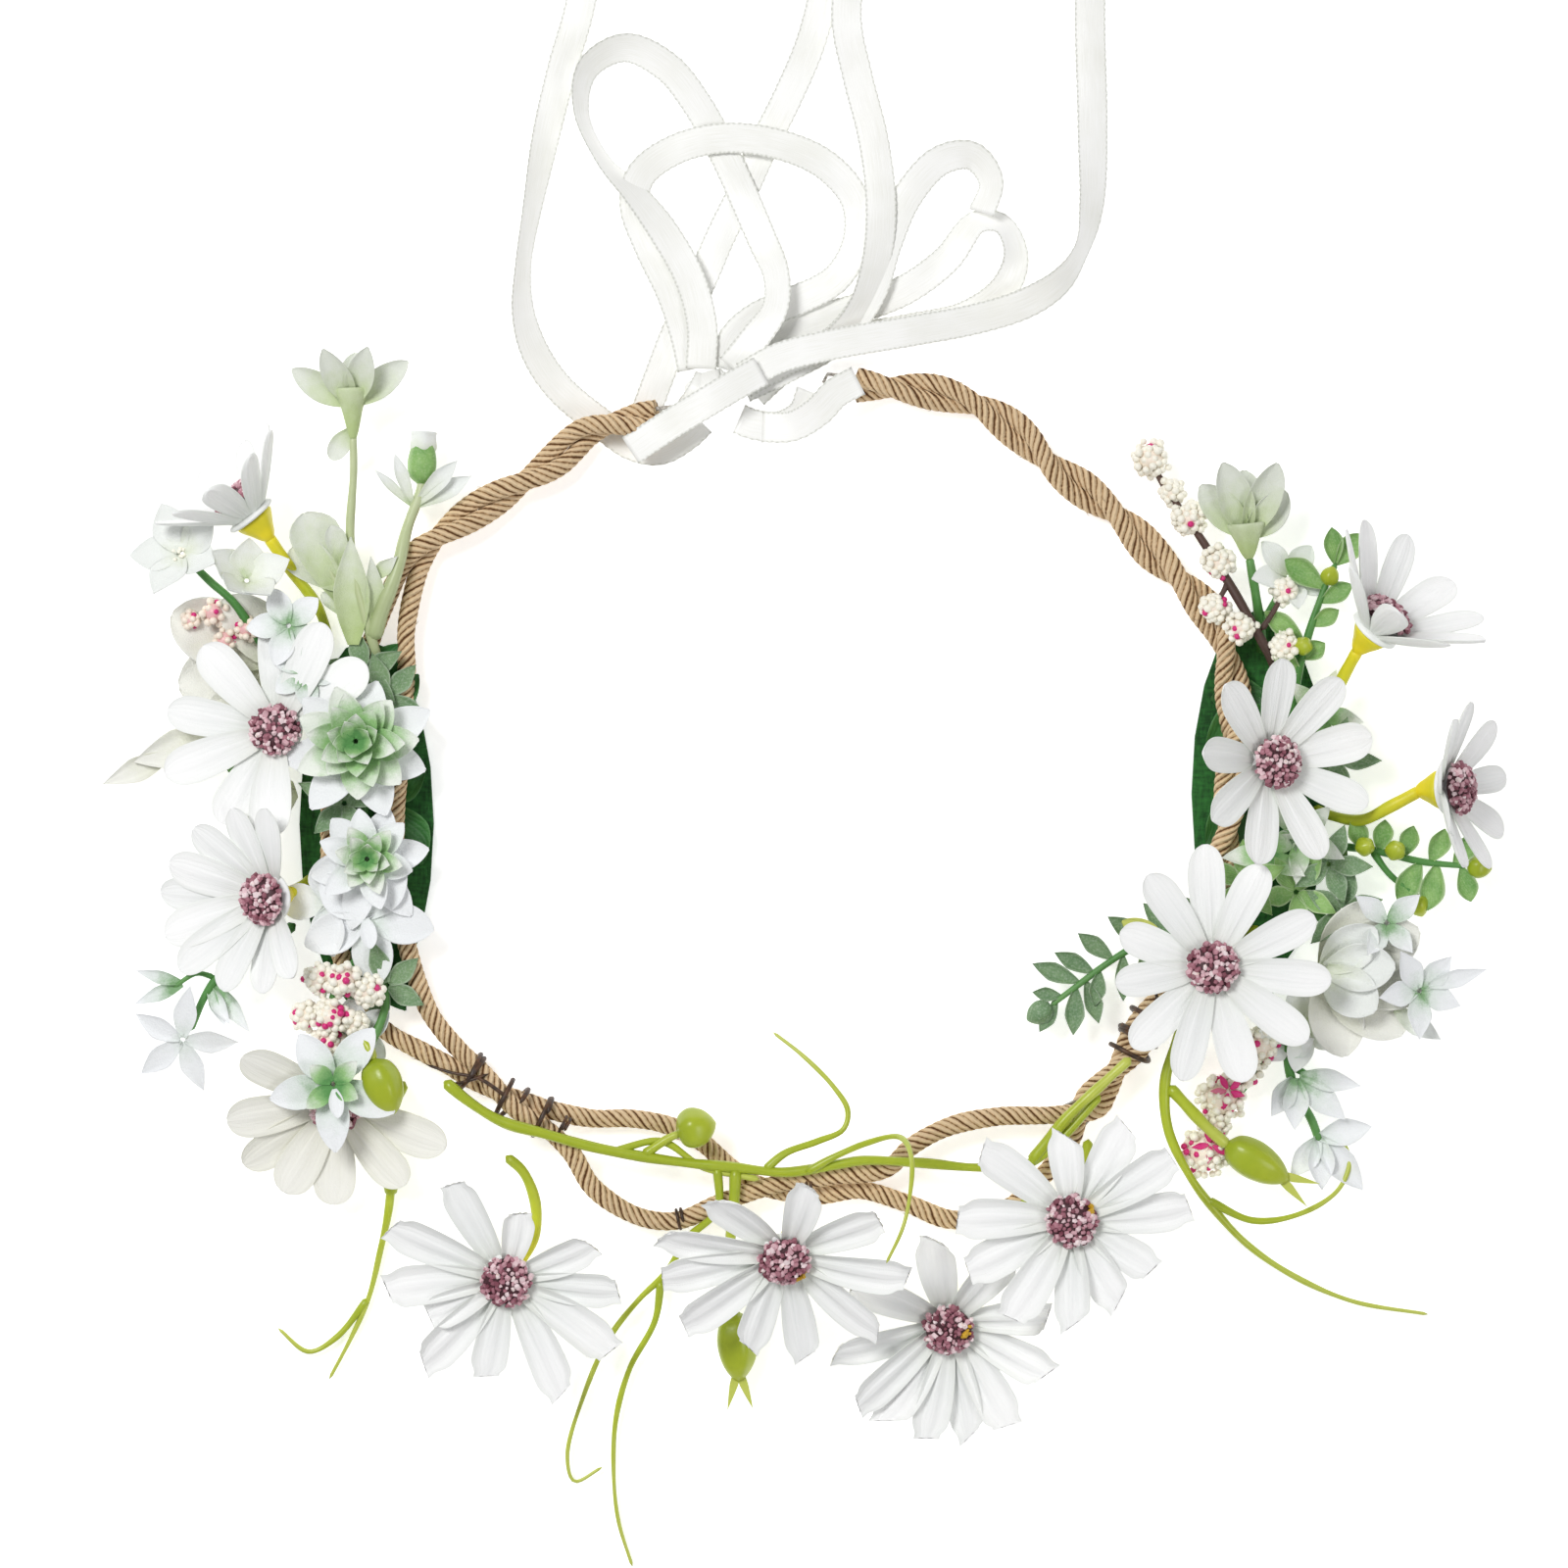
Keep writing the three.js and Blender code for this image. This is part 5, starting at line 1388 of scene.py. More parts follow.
    def stem_patches(self) -> list[Patch]:
        """The stem up to the calyx, which flares from the stem to the petals."""
        depth, radius = self.cup_depth, self.cup_radius
        calyx = lathe([(self.stem_radius * 0.9, -depth - 0.6), (self.stem_radius + 0.7, -depth + 0.4),
                       (2.6, -3.6), (radius - 0.3, -1.8), (radius + 0.2, -0.5), (radius - 0.8, -0.05),
                       (0.4, -0.2)], 24, lobes=5, depth=0.05)
        calyx.tone[:] = 0.7 + 0.3 * (1 - calyx.tone)
        foot = self.point(0, 0, 0.4 - depth)
        stem = twig([*self.stem, foot], self.stem_radius * 0.9, self.stem_radius * 1.25, 0.9, 12,
                    (0.15, 0.85), 0.1)
        return [calyx.placed(self.point(0, 0, 0), self.axis, self.right), stem]

    def build(self, plan: Plan) -> None:
        """Petals, button and stem, each on its own body and in place of its CAD node."""
        node = f"daisy_{self.name}"
        head = f"head_{self.name}" if self.turning else "crown"
        petals = Piece(f"{node}_petals", head, "petal_fabric")
        petals.add(*self.petal_patches()).build(plan, self.finish.use())
        button = Piece(f"{node}_centre", head, "crumb_button")
        button.add(*self.button_patches()).build(plan, Finish.CRUMB.use())
        stem = Piece(f"{node}_stem", self.stem_body, "calyx")
        stem.add(*self.stem_patches()).build(plan, Finish.CALYX.use())


def even_petals(count: int, length: float, start: float) -> Spot:
    """Petals of one length, evenly round."""
    return [value for i in range(count) for value in (start + 360 * i / count, length)]


def daisies() -> list[Daisy]:
    """The twelve daisies: four in front, four on the left, four on the right."""
    furrowed = {"cut": Cut.FURROWED}
    return [
        Daisy("front_left", (-66, -102.5, 14), (0.05, -0.08), 6,
              (118, 24, 153, 27, 180, 25.5, 206, 18, 225, 25, 258, 21, 300, 27, 330, 27, 352, 24, 20,
               20, 75, 15),
              ((-66.3, -76.5, VINE_Z), (-62.5, -80, VINE_Z), (-60, -87, 9), (-60.5, -94, 6.5),
               (-63.5, -99.5, 6.5)), True, "stem_front_left", seed=1, **furrowed),
        Daisy("front_middle", (-6.5, -96, 25), (0, -0.47), 10,
              (128, 22, 165, 26, 186, 26, 214, 26, 246, 22, 284, 24, 320, 26, 350, 26, 30, 22, 72, 19),
              ((-3.5, -85.2, VINE_Z), (-4.2, -87.5, 12.5), (-5.8, -91, 16.5)), True,
              "stem_front_middle", seed=2, gold=(3.6, -3.2, 1.3), **furrowed),
        Daisy("front_low", (28.5, -112.4, 9), (0, -0.36), 18,
              (60, 22, 100, 22, 145, 23, 194, 24, 218, 25, 240, 24, 262, 24, 284, 24, 306, 24, 338, 23,
               15, 22),
              ((46.5, -82.5, VINE_Z), (43.5, -90.5, 9), (38.5, -98.5, 6), (33.5, -105.5, 4.6)), True,
              seed=3, gold=(3.6, 0.4, 1.3), **furrowed),
        Daisy("front_right", (53.5, -88.5, 28), (0.02, 0.03), 4,
              (176, 24, 206, 24, 138, 24, 92, 18, 57, 23, 30, 25, 3, 25, 330, 20, 300, 20, 272, 22, 240,
               24),
              ((58.5, -73, VINE_Z), (57.8, -76.5, 12.5), (56, -82, 16.5), (54, -87, 20.5)), True,
              "stem_front_right", seed=4, gold=(3.4, 2.6, 1.0), **furrowed),
        Daisy("left_upper", (-115, 14.5, 12), (-0.1, 0.08), 5,
              (170, 24, 202, 25.5, 240, 23, 267, 23, 131, 24, 91, 24.5, 64, 25, 35, 24),
              ((-109, 9, ROOT_Z), (-112, 11.5, 4.4)), seed=5, width=8.6),
        Daisy("left_middle", (-116, -21, 14), (-0.66, -0.1), 15,
              (77, 20, 108, 20, 136, 22, 163, 24, 180, 26, 199, 26, 216, 26, 243, 22, 272, 20, 300, 19),
              ((-108.6, -17, ROOT_Z), (-110.6, -18.8, 6)), seed=6, width=8.4),
        Daisy("left_top", (-120, 60, 15), (-2.4, 3), 42, even_petals(9, 17, 20),
              ((-104.5, 33, ROOT_Z), (-107, 41, 5), (-112, 48.5, 9.5)), seed=7, width=7.2),
        Daisy("left_low", (-102.5, -65, 11), (0, -0.37), 12,
              (145, 23, 185, 23, 213, 23.5, 238, 22, 268, 22, 309, 22.5, 340, 25),
              ((-100.8, -51.5, ROOT_Z), (-101.2, -57, 4)), seed=8, finish=Finish.PETAL_WARM,
              width=8.8),
        Daisy("right_upper", (96.2, 7.8, 18), (0.5, 0), 20, even_petals(9, 22, 14),
              ((98.6, 2.6, ROOT_Z), (97.8, 5, 8.5)), True, seed=9, width=8.2),
        Daisy("right_lower", (84, -35.7, 21), (0, 0.05), 6,
              (95, 26, 125, 24, 160, 21, 190, 21, 225, 24, 252, 25, 285, 25, 320, 25, 352, 25, 25, 24,
               65, 24),
              ((95.5, -27.5, ROOT_Z), (92, -31.5, 6), (87, -34.6, 12)), True, seed=10, width=7.8),
        Daisy("right_outer", (133.4, 2.1, 18), (1.6, 0.1), 24, even_petals(9, 18, 10),
              ((107.5, -2, ROOT_Z), (111, -3.6, 5.5), (117, -4.6, 10), (123, -1.5, 14)), seed=11,
              width=7.0),
        Daisy("right_top", (118.5, 35.5, 18), (1.2, 1.5), 40, even_petals(9, 20, 30),
              ((107, 9, ROOT_Z), (109.5, 16, 6), (112.5, 25, 11)), seed=12, width=7.4),
    ]


# ---- vine and tendrils
def along_route(points: Route, radius: float, tip: float = 0.35,
                tones: tuple[float, float] = (0.35, 0.75)) -> Patch:
    """A vine runner or tendril: it swells gently on its way and thins towards its tip."""
    return twig(points, radius, tip, 0.9, 10, tones, 0.12)


def bud(foot: Spot, towards: Spot, length: float, radius: float,
        prongs: int = 2) -> list[Patch]:
    """A moulded seed bud: a five-lobed pod with pointed prongs at its tip.

    Args:
        foot: where it joins its stem.
        towards: the way it points.
        length: of the pod.
        radius: of the pod at its widest.
        prongs: how many points stand at its tip.

    Returns:
        Its patches.
    """
    way = unit(np.asarray(towards, float))
    over = np.array([0.05, 0.1, 1.0]) if abs(way[2]) < 0.9 else np.array([1.0, 0, 0])
    pod = lathe([(0.9, 0), (radius * 0.75, length * 0.12), (radius, length * 0.4),
                 (radius * 0.8, length * 0.72), (radius * 0.35, length * 0.93), (0.2, length)], 26,
                lobes=5, depth=0.05)
    pod.tone[:] = 0.25 + 0.35 * pod.tone
    made = [pod.placed(foot, way, over)]
    side = unit(np.cross(over, way))
    for number in range(prongs):
        share = (number - (prongs - 1) / 2) * 0.9
        tip = Blade(length * 0.55, 1.9, shoulder=0.3, neck=0.8, roundness=0.0, curl=0.1, thickness=1.0,
                    rows=9, columns=7)
        start = np.asarray(foot, float) + way * length * 0.86 + side * share * 0.5
        made.append(tip.patch(0.75).placed(start, way + side * share * 0.7, over))
    return made


@dataclass
class Vines:
    """The lime plastic vine along the front of the band, and the tendrils at its ends."""

    radius: float = 1.2
    thin: float = 0.8

    def front(self) -> list[Patch]:
        """The runner on the band, its two buds and its curls."""
        z = VINE_Z
        runner = [(-79.5, -60.5, z), (-74, -65, z), (-67, -69.2, z), (-58.5, -71.6, z), (-48.5, -74.4, z),
                  (-38, -76.5, z), (-27.5, -78, z), (-17, -79, z), (-6.5, -80, z), (4, -78.5, z),
                  (10, -77.5, z), (22.5, -78, z), (35.5, -79, z), (46, -78, z), (53, -72.5, z),
                  (61, -63.5, z)]
        inner = [(-11, -79.7, z), (-6.5, -76, 10), (0.5, -73.5, 9), (6, -71, 8.5), (7, -67, 8),
                 (4, -62, 7), (-2.5, -55.5, 5), (-9, -50.5, 3)]
        long_curl = [(-21, -78.7, z), (-21, -88, z), (-27.5, -94.5, 8), (-32, -102, 5.5),
                     (-38, -108, 4.5), (-44.5, -116.5, 3.5), (-50, -129, 3), (-53.5, -142, 2.5),
                     (-52, -147.5, 2.2), (-46, -144.5, 2)]
        second = [(-33.2, -103.6, 5.2), (-34.5, -112.5, 4.5), (-40, -123, 3.2), (-43, -134, 2.6),
                  (-43.5, -146, 2.2), (-42.5, -156, 2), (-39.5, -166, 1.6)]
        arched = [(-2, -80, z + 1), (4, -76.6, z + 1.6), (11, -73.4, z + 4), (17.6, -71.6, z + 10),
                  (20, -75, z + 19), (19.6, -82, z + 25.5), (18, -89, z + 28), (14.6, -96.5, z + 27)]
        patches = [along_route(runner, self.radius, self.radius * 0.8, (0.4, 0.4)),
                   along_route(inner, self.thin * 1.1), along_route(long_curl, self.thin * 1.15),
                   along_route(second, self.thin), along_route(arched, self.thin),
                   along_route([(-37, -76.5, z), (-31, -72.5, z), (-28.6, -71.6, z)], self.radius * 0.9, 0.9),
                   along_route([(-17, -79, z), (-17.5, -88, z), (-18.5, -100, 7), (-17.2, -112, 6)],
                               self.radius, 1.2),
                   along_route([(-44, -75.8, z), (-33, -73.5, z - 1), (-24, -79, z - 0.6), (-12, -81.5, z)],
                               self.thin, 0.7)]
        patches += bud((-29.6, -71.6, z), (0.95, 0.25, 0), 8.6, 4.4, 0)
        patches += bud((-17.2, -110.5, 6.2), (0.05, -1, 0), 15, 4.4, 2)
        return patches

    def left(self) -> list[Patch]:
        """The tendril that hangs from the left cluster, and the pod at its head."""
        main = [(-88.5, -61, 4.5), (-92, -69, 3.5), (-91.5, -79, 3), (-92, -88, 2.6), (-94, -98, 2.2),
                (-96.5, -108, 2), (-100, -116, 1.8), (-105, -125.5, 1.6)]
        branch = [(-96.5, -108, 2), (-103.5, -116.5, 2.2), (-109.5, -119.5, 2.2), (-116, -114.5, 2)]
        swollen = [(-91.3, -70, 3.4), (-91.6, -79, 3), (-91.6, -86, 2.7)]
        pod = bud((-94.3, -55.5, 17), (0.35, -0.85, 0), 12.5, 4.2, 0)
        hook = along_route([(-97.5, -50.5, 15.5), (-95.3, -52.6, 16.8), (-94, -56, 17)], 1.2, 1.2)
        return [along_route(main, self.radius), along_route(branch, self.thin),
                along_route(swollen, 1.9, 1.4, (0.5, 0.4)), hook, *pod]

    def right(self) -> list[Patch]:
        """The long tendril under the lower right daisy, its curl and its bud."""
        z = VINE_Z
        main = [(80, -46, z), (77.5, -52, z), (75, -60, z), (75.5, -70.5, z), (80, -80.5, z),
                (85.5, -88, 9), (92.5, -95.5, 7), (102.5, -102.5, 5), (116, -108.5, 3),
                (132.5, -111.5, 1.6)]
        curl = [(84, -86, 9.6), (94, -90.5, 9), (104.5, -89, 8), (112.5, -84, 7), (115, -77.5, 6),
                (112, -71, 5)]
        stalk = [(75.6, -61.5, z), (83, -69.5, 11.5), (88.5, -74.5, 10.8)]
        joined = [(46, -78, z), (54, -68, z + 1.4), (62, -60.5, z + 1.2), (67.5, -55.5, z + 1)]
        patches = [along_route(main, self.radius * 1.1), along_route(curl, self.thin * 1.1),
                   along_route(stalk, self.radius, 1.3), along_route(joined, self.radius, 1.1)]
        return patches + bud((88, -74, 10.8), (0.85, -0.5, 0), 15.5, 4.2, 2)

    def build(self, plan: Plan) -> None:
        """The three vine pieces."""
        parts = {"front_vine": self.front(), "left_tendril": self.left(), "right_tendril": self.right()}
        for name, patches in parts.items():
            piece = Piece(name, slot="vine_plastic")
            piece.add(*patches).build(plan, Finish.VINE.use())


# ---- sprays
@dataclass
class Spray:
    """What every spray is made of: twigs, leaves, little flowers, rosettes and bead clusters."""

    name: str
    slot: str
    finishes: tuple[Finish, ...]
    seed: int

    def __post_init__(self) -> None:
        """Starts the piece and its source of chance."""
        self.rng = np.random.default_rng(self.seed)
        self.piece = Piece(self.name, slot=self.slot)

    def stem(self, points: Route, start: float, end: float, finish: int,
             tones: tuple[float, float] = (0.2, 0.7)) -> None:
        """A tapering stem."""
        self.piece.add(twig(points, start, end, 0.9, 8, tones, 0.08), finish=finish)

    def leaf(self, foot: Spot, tip: Spot, width: float, finish: int,
             roundness: float = 0.25, cup: float = 0.25, curl: float = 0.06, ridge: float = 0.12,
             tone: float = 0.5, stalk: float = 0.0, over: Spot = (0.02, 0.03, 1.0)) -> None:
        """One leaf or petal from foot to tip, with a bare stalk for a share of its length."""
        start, way = np.asarray(foot, float), np.asarray(tip, float) - np.asarray(foot, float)
        chance = self.rng.uniform(-1, 1, 4)
        blade = Blade(float(np.linalg.norm(way)), width, shoulder=0.5 + stalk * 0.5,
                      neck=0.12 if stalk else 0.3, roundness=roundness, cup=cup + 0.1 * chance[0],
                      curl=curl + 0.04 * chance[1], ridge=ridge, furrows=2.0, twist=10 * chance[2],
                      sway=0.05 * chance[3], thickness=0.5, rows=14, columns=9)
        self.piece.add(blade.patch(float(np.clip(tone + 0.15 * chance[0], 0, 1)))
                       .placed(start, way, np.asarray(over, float)), finish=finish)

    def leaves(self, rows: Route, finish: int, *shape: float, **more: float) -> None:
        """Leaves of one kind: each row is foot, tip and width, and the rest is as for a leaf."""
        for row in rows:
            self.leaf(row[:3], row[3:6], row[6], finish, *shape, **more)

    def turned(self, profile: Route, foot: Spot, way: Spot, finish: int, tones: tuple[float, float],
               segments: int = 20, lobes: int = 5, depth: float = 0.05) -> None:
        """A turned cup or pod that stands on its foot, its tone running between two values."""
        cup = lathe(profile, segments, lobes=lobes, depth=depth)
        cup.tone[:] = tones[0] + (tones[1] - tones[0]) * cup.tone
        self.piece.add(cup.placed(foot, np.asarray(way, float), UP), finish=finish)

    def flower(self, centre: Spot, face: Spot, petals: int, length: float,
               width: float, finish: int, lean: float = 18.0, start: float = 0.0,
               roundness: float = 0.5, curl: float = -0.12, tone: float = 0.5,
               middle: int | None = None) -> None:
        """A ring of petals round a point, leaning up by `lean` degrees, facing `face`."""
        axis = unit(np.asarray(face, float))
        first = unit(np.cross(axis, np.array([0.13, 0.97, 0.2])))
        second = np.cross(axis, first)
        for number in range(petals):
            chance = self.rng.uniform(-1, 1, 3)
            angle = math.radians(start) + 2 * math.pi * (number + 0.12 * chance[0]) / petals
            radial = first * math.cos(angle) + second * math.sin(angle)
            rise = math.radians(lean + 5 * chance[1])
            way = radial * math.cos(rise) + axis * math.sin(rise)
            over = axis * math.cos(rise) - radial * math.sin(rise)
            foot = np.asarray(centre, float) + radial * 0.5 + axis * 0.05 * number
            size = length * (1 + 0.1 * chance[2])
            self.leaf(foot, foot + way * size, width, finish, roundness, 0.18, curl, 0.14, tone,
                      over=over)
        if middle is not None:
            count = 9
            spots = np.asarray(centre) + axis * 1.1 + self.rng.normal(scale=0.55, size=(count, 3))
            self.piece.add(beads(spots, np.full(count, 0.42), np.full(count, 0.7)), finish=middle)

    def rosette(self, centre: Spot, radius: float, tiers: int, finish: int,
                inner: float = 0.1, outer: float = 0.75, face: Spot = (0, 0, 1)) -> None:
        """A succulent: tiers of broad leaves that stand up more and turn greener inwards."""
        for tier in range(tiers):
            share = 1 - tier / tiers
            self.flower(np.asarray(centre, float) + np.asarray(face) * tier * radius * 0.1, face,
                        5 if tier else 6, radius * (0.4 + 0.6 * share), radius * (0.36 + 0.28 * share),
                        finish, lean=8 + 44 * (1 - share), start=31 * tier, roundness=0.35, curl=0.16,
                        tone=inner + (outer - inner) * share)

    def cluster(self, centre: Spot, spread: float, count: int, radius: float, finish: int,
                magenta: float = 0.0, ivory: float = 0.75) -> None:
        """Beads packed over a lumpy ball by the golden angle, with a few magenta ones."""
        order = (np.arange(count) + 0.5) / count
        polar = np.arccos(1 - 2 * order)
        turn = np.arange(count) * math.pi * (3 - math.sqrt(5))
        reach = spread * (1 + self.rng.uniform(-0.3, 0.12, count))
        way = np.stack([np.sin(polar) * np.cos(turn), np.sin(polar) * np.sin(turn), np.cos(polar)], 1)
        spots = np.asarray(centre, float) + way * reach[:, None] * [1, 1, 0.8]
        pink = (self.rng.random(count) < magenta) & (reach < spread * 1.02)
        tones = np.where(pink, 0.0, ivory)
        sizes = radius * self.rng.uniform(0.82, 1.12, count)
        sizes[pink] *= 0.8
        heart = beads(np.asarray([centre], float), np.array([spread * 0.8]), np.array([ivory * 0.6]))
        self.piece.add(beads(spots, sizes, tones), heart, finish=finish)

    def build(self, plan: Plan) -> None:
        """Makes the piece with its finishes."""
        self.piece.build(plan, *(finish.use() for finish in self.finishes))


def flocked_spray() -> Spray:
    """Two succulent rosettes, a white flower and a green-hearted one on the left cluster's runner."""
    s = Spray("flocked_spray", "flocked_plastic", (Finish.FLOCKED, Finish.DARK_STEM,
                                                   Finish.WHITE_FLOCKED), 21)
    s.stem([(-96.5, 17, 4.2), (-97, 4, 4.2), (-97.5, -12, 4.2), (-96.5, -28, 4.2), (-93.5, -38, 5.5),
            (-92.2, -44.5, 9.8), (-95, -52, 11.5), (-99.5, -58, 14.5), (-101.8, -60.8, 18.8)], 1, 1, 1)
    s.stem([(-97, 11.6, 4.2), (-97, 11.6, 9), (-97, 11.6, 16)], 1.1, 1.1, 1)
    s.stem([(-97, -13.7, 4.2), (-96, -13.7, 9), (-95.3, -13.7, 15)], 1.1, 1.1, 1)
    s.stem([(-97, -25, 4.2), (-96.8, -25, 7), (-96, -25, 10.5)], 1, 1, 1)
    s.flower((-97, 10.6, 14.6), UP, 7, 15.5, 8.4, 2, lean=2, start=12, tone=0.72)
    s.flower((-97, 11.6, 16.4), UP, 7, 12.4, 7.6, 0, lean=14, start=38, tone=0.52)
    s.rosette((-97.4, 12.2, 18.2), 9.5, 4, 0, 0.15, 0.42)
    s.flower((-95.3, -13.7, 13.2), UP, 6, 13, 7, 2, lean=2, start=20, tone=0.68)
    s.flower((-95.3, -13.2, 15), UP, 6, 10, 6, 2, lean=14, start=50, tone=0.5)
    s.rosette((-95.3, -12.8, 16.6), 7, 3, 0, 0.2, 0.5)
    s.flower((-96, -25.5, 11.5), (0, -0.15, 1), 5, 13, 9, 2, lean=4, start=38, tone=0.9, roundness=0.6)
    s.flower((-104.5, -22.5, 10.2), (-0.2, 0, 1), 4, 10.5, 8, 2, lean=4, start=10, tone=0.85)
    s.leaf((-96, -25.5, 13), (-94.6, -32, 15.5), 3.6, 2, 0.8, tone=1.0)
    s.flower((-102.3, -60.5, 18.4), (0, 0.1, 1), 5, 13.5, 7.4, 2, lean=4, start=22, tone=0.45)
    s.flower((-102.3, -60.5, 19.6), UP, 4, 6.5, 4.2, 0, lean=24, start=60, tone=0.35)
    s.leaf((-102, -61.5, 20), (-100.8, -67.5, 22), 3.2, 2, 0.8, tone=1.0)
    return s


def trumpet_spray() -> Spray:
    """A pale trumpet flower and a closed bud on long stems above the left cluster."""
    s = Spray("trumpet_spray", "flocked_plastic", (Finish.PALE_STEM, Finish.PALE_GREEN, Finish.BLOSSOM,
                                                   Finish.BOXWOOD), 22)
    s.stem([(-93.6, 26, 4.2), (-94, 29.5, 7), (-95.5, 36, 10), (-99.5, 53.5, 10.5), (-98.8, 70, 11.5),
            (-98.8, 78, 12)], 1.3, 0.8, 0, (0.3, 0.5))
    s.stem([(-95, 34, 9.4), (-92.6, 41, 10.8), (-89.5, 49, 11.4), (-87.5, 58, 9.5), (-84.8, 66, 8),
            (-84.4, 69, 8)], 1.9, 0.95, 0, (0.2, 0.6))
    s.leaf((-99, 33, 9.6), (-98.8, 56, 12), 8, 1, 0.1, 0.5, tone=0.45)
    s.leaf((-93.6, 36, 10), (-94.6, 52, 12.2), 4.5, 1, 0.1, 0.4, tone=0.5)
    foot, way = np.array([-98.8, 77, 12]), np.array([-0.03, 1, 0.08])
    s.turned([(0.7, 0), (1.2, 1.6), (2.2, 6), (3.6, 10.6), (3.2, 10.9), (1.8, 6.5), (0.3, 3)], foot, way,
             1, (0.35, 0.35), depth=0)
    mouth = foot + unit(way) * 7.5
    tips = ((-112, 91.2, 13), (-104, 95.5, 20), (-94.5, 95.5, 19.5), (-87, 93.4, 13), (-98.6, 95.6, 8.5))
    for tip in tips:
        s.leaf(mouth, tip, 6.2, 1, 0.6, 0.4, 0.02, tone=0.75, over=(0, -0.35, 1))
    s.leaf((-99.6, 79, 11), (-103.6, 72.6, 10), 4.6, 1, 0.9, tone=0.7)
    s.turned([(0.9, 0), (2.4, 1.3), (3.1, 4), (2.6, 7.6), (2.3, 8.6)], (-84.6, 67.6, 8), (0.06, 1, 0), 3,
             (0.55, 0.55))
    s.turned([(2.2, 0), (2.7, 1.2), (2.5, 3.6), (2.6, 4.6), (0.8, 4.2)], (-84.2, 74.2, 8), (0.04, 1, 0),
             2, (0.8, 0.8), lobes=4, depth=0.08)
    for tip, width in (((-94.2, 70.5, 9.5), 2.2), ((-90, 74, 10), 3), ((-73.6, 69, 9), 4.2),
                       ((-76.5, 72.5, 10), 4)):
        s.leaf((-86.2, 62.4, 8.6), tip, width, 2, 0.1, 0.4, tone=0.55, stalk=0.3)
    s.leaves((
        (-100, 40, 9.4, -108.5, 61.5, 9.6, 11), (-99.8, 44, 10, -112, 54, 8, 9),
        (-99.8, 47, 10.2, -103.5, 58.5, 12, 4.6), (-99, 38, 9, -106, 44, 8, 3)),
        1, 0.7, 0.35, tone=0.55, stalk=0.55)
    s.stem([(-98.6, 33, 8.6), (-99.4, 40, 9.6), (-103, 47, 9.4), (-107.6, 56, 9)], 0.9, 0.5, 0)
    s.leaf((-94.6, 47, 11.6), (-89.4, 52, 12.5), 3.4, 1, 0.0, tone=0.6)
    return s


def left_berries() -> Spray:
    """Ivory bead clusters with magenta bits, between the left daisies."""
    s = Spray("berry_spray_left", "berry_beads", (Finish.BERRY, Finish.DARK_STEM, Finish.WHITE_FLOCKED),
              23)
    s.stem([(-97.5, -33, 7.2), (-99.5, -36, 9), (-102, -39.5, 13), (-103.6, -45, 13),
            (-104.5, -49, 12.4)], 0.9, 0.9, 1)
    for *centre, spread, count in (
            (-106, -38.6, 14, 3.2, 30), (-100.4, -38.6, 16, 3.4, 36), (-95.4, -41, 14.5, 3.1, 32),
            (-109, -46.5, 12.6, 3, 28), (-103.4, -46.5, 14.4, 3.6, 38), (-98.4, -48, 13, 2.6, 24),
            (-104, -52.4, 12.2, 3.3, 34)):
        s.cluster(centre, spread, round(count * 1.25), 0.95, 0, 0.22)
    s.flower((-98.6, -51, 9.6), UP, 5, 8, 6, 2, lean=6, tone=0.6)
    return s


def outer_sprig() -> Spray:
    """The blossom sprig beyond the left daisies, over large cream petals and pink berries."""
    s = Spray("blossom_sprig_left", "blossom_fabric",
              (Finish.BLOSSOM, Finish.DARK_STEM, Finish.CREAM, Finish.BERRY, Finish.WHITE_FLOCKED), 24)
    s.stem([(-109.2, 22, ROOT_Z), (-114, 27, 4.4), (-119, 33.6, 9), (-124.5, 42, 11),
            (-129.5, 46.5, 11.5), (-133.5, 50.5, 12)], 1.2, 0.8, 1, (0.1, 0.5))
    s.flower((-135.2, 52.2, 13), (-0.25, 0.35, 1), 5, 10.5, 8.4, 0, lean=16, start=20, tone=0.95,
             roundness=0.2, curl=0.05, middle=3)
    s.flower((-121.5, 46.5, 13), (0.3, 0.5, 0.9), 5, 9.5, 8, 0, lean=30, start=55, tone=0.7,
             roundness=0.15, curl=0.1)
    s.flower((-112.6, 37, 12.5), (0, 0.1, 1), 5, 8.2, 5.6, 4, lean=10, tone=0.5, start=10)
    s.flower((-109, 27, 13), (0, 0.1, 1), 5, 7.5, 5, 4, lean=10, tone=0.4, start=40)
    s.leaves((
        (-117, 30, 4.6, -138, 40, 5.4, 15), (-116, 27, 4, -137, 25, 4.4, 16),
        (-114, 22, 3.6, -131, 15, 4, 14), (-112, 28, 5, -126, 44, 7, 12), (-112, 2, 4, -124, -2, 4, 12)),
        2, 0.85, 0.2, 0.12, 0.3, 0.6)
    s.leaf((-127, 13.5, 5.4), (-146.5, 7.4, 5), 9, 2, 0.1, 0.45, 0.02, 0.35, 0.75)
    s.leaf((-139, 9.5, 4.6), (-153.4, 2.4, 3.6), 5.6, 2, 0.0, 0.4, 0.02, 0.3, 0.8)
    s.leaf((-122, 6, 4), (-128, 9, 4.6), 5, 1, 0.2, tone=0.9)
    for centre, spread in (((-129, 40, 9.5), 2.6), ((-126.6, 34, 8.8), 2.4), ((-122, 36.5, 9.6), 2.4),
                           ((-134, 38.5, 8), 1.8)):
        s.cluster(centre, spread, 18, 0.85, 3, 0.3, 0.45)
    return s


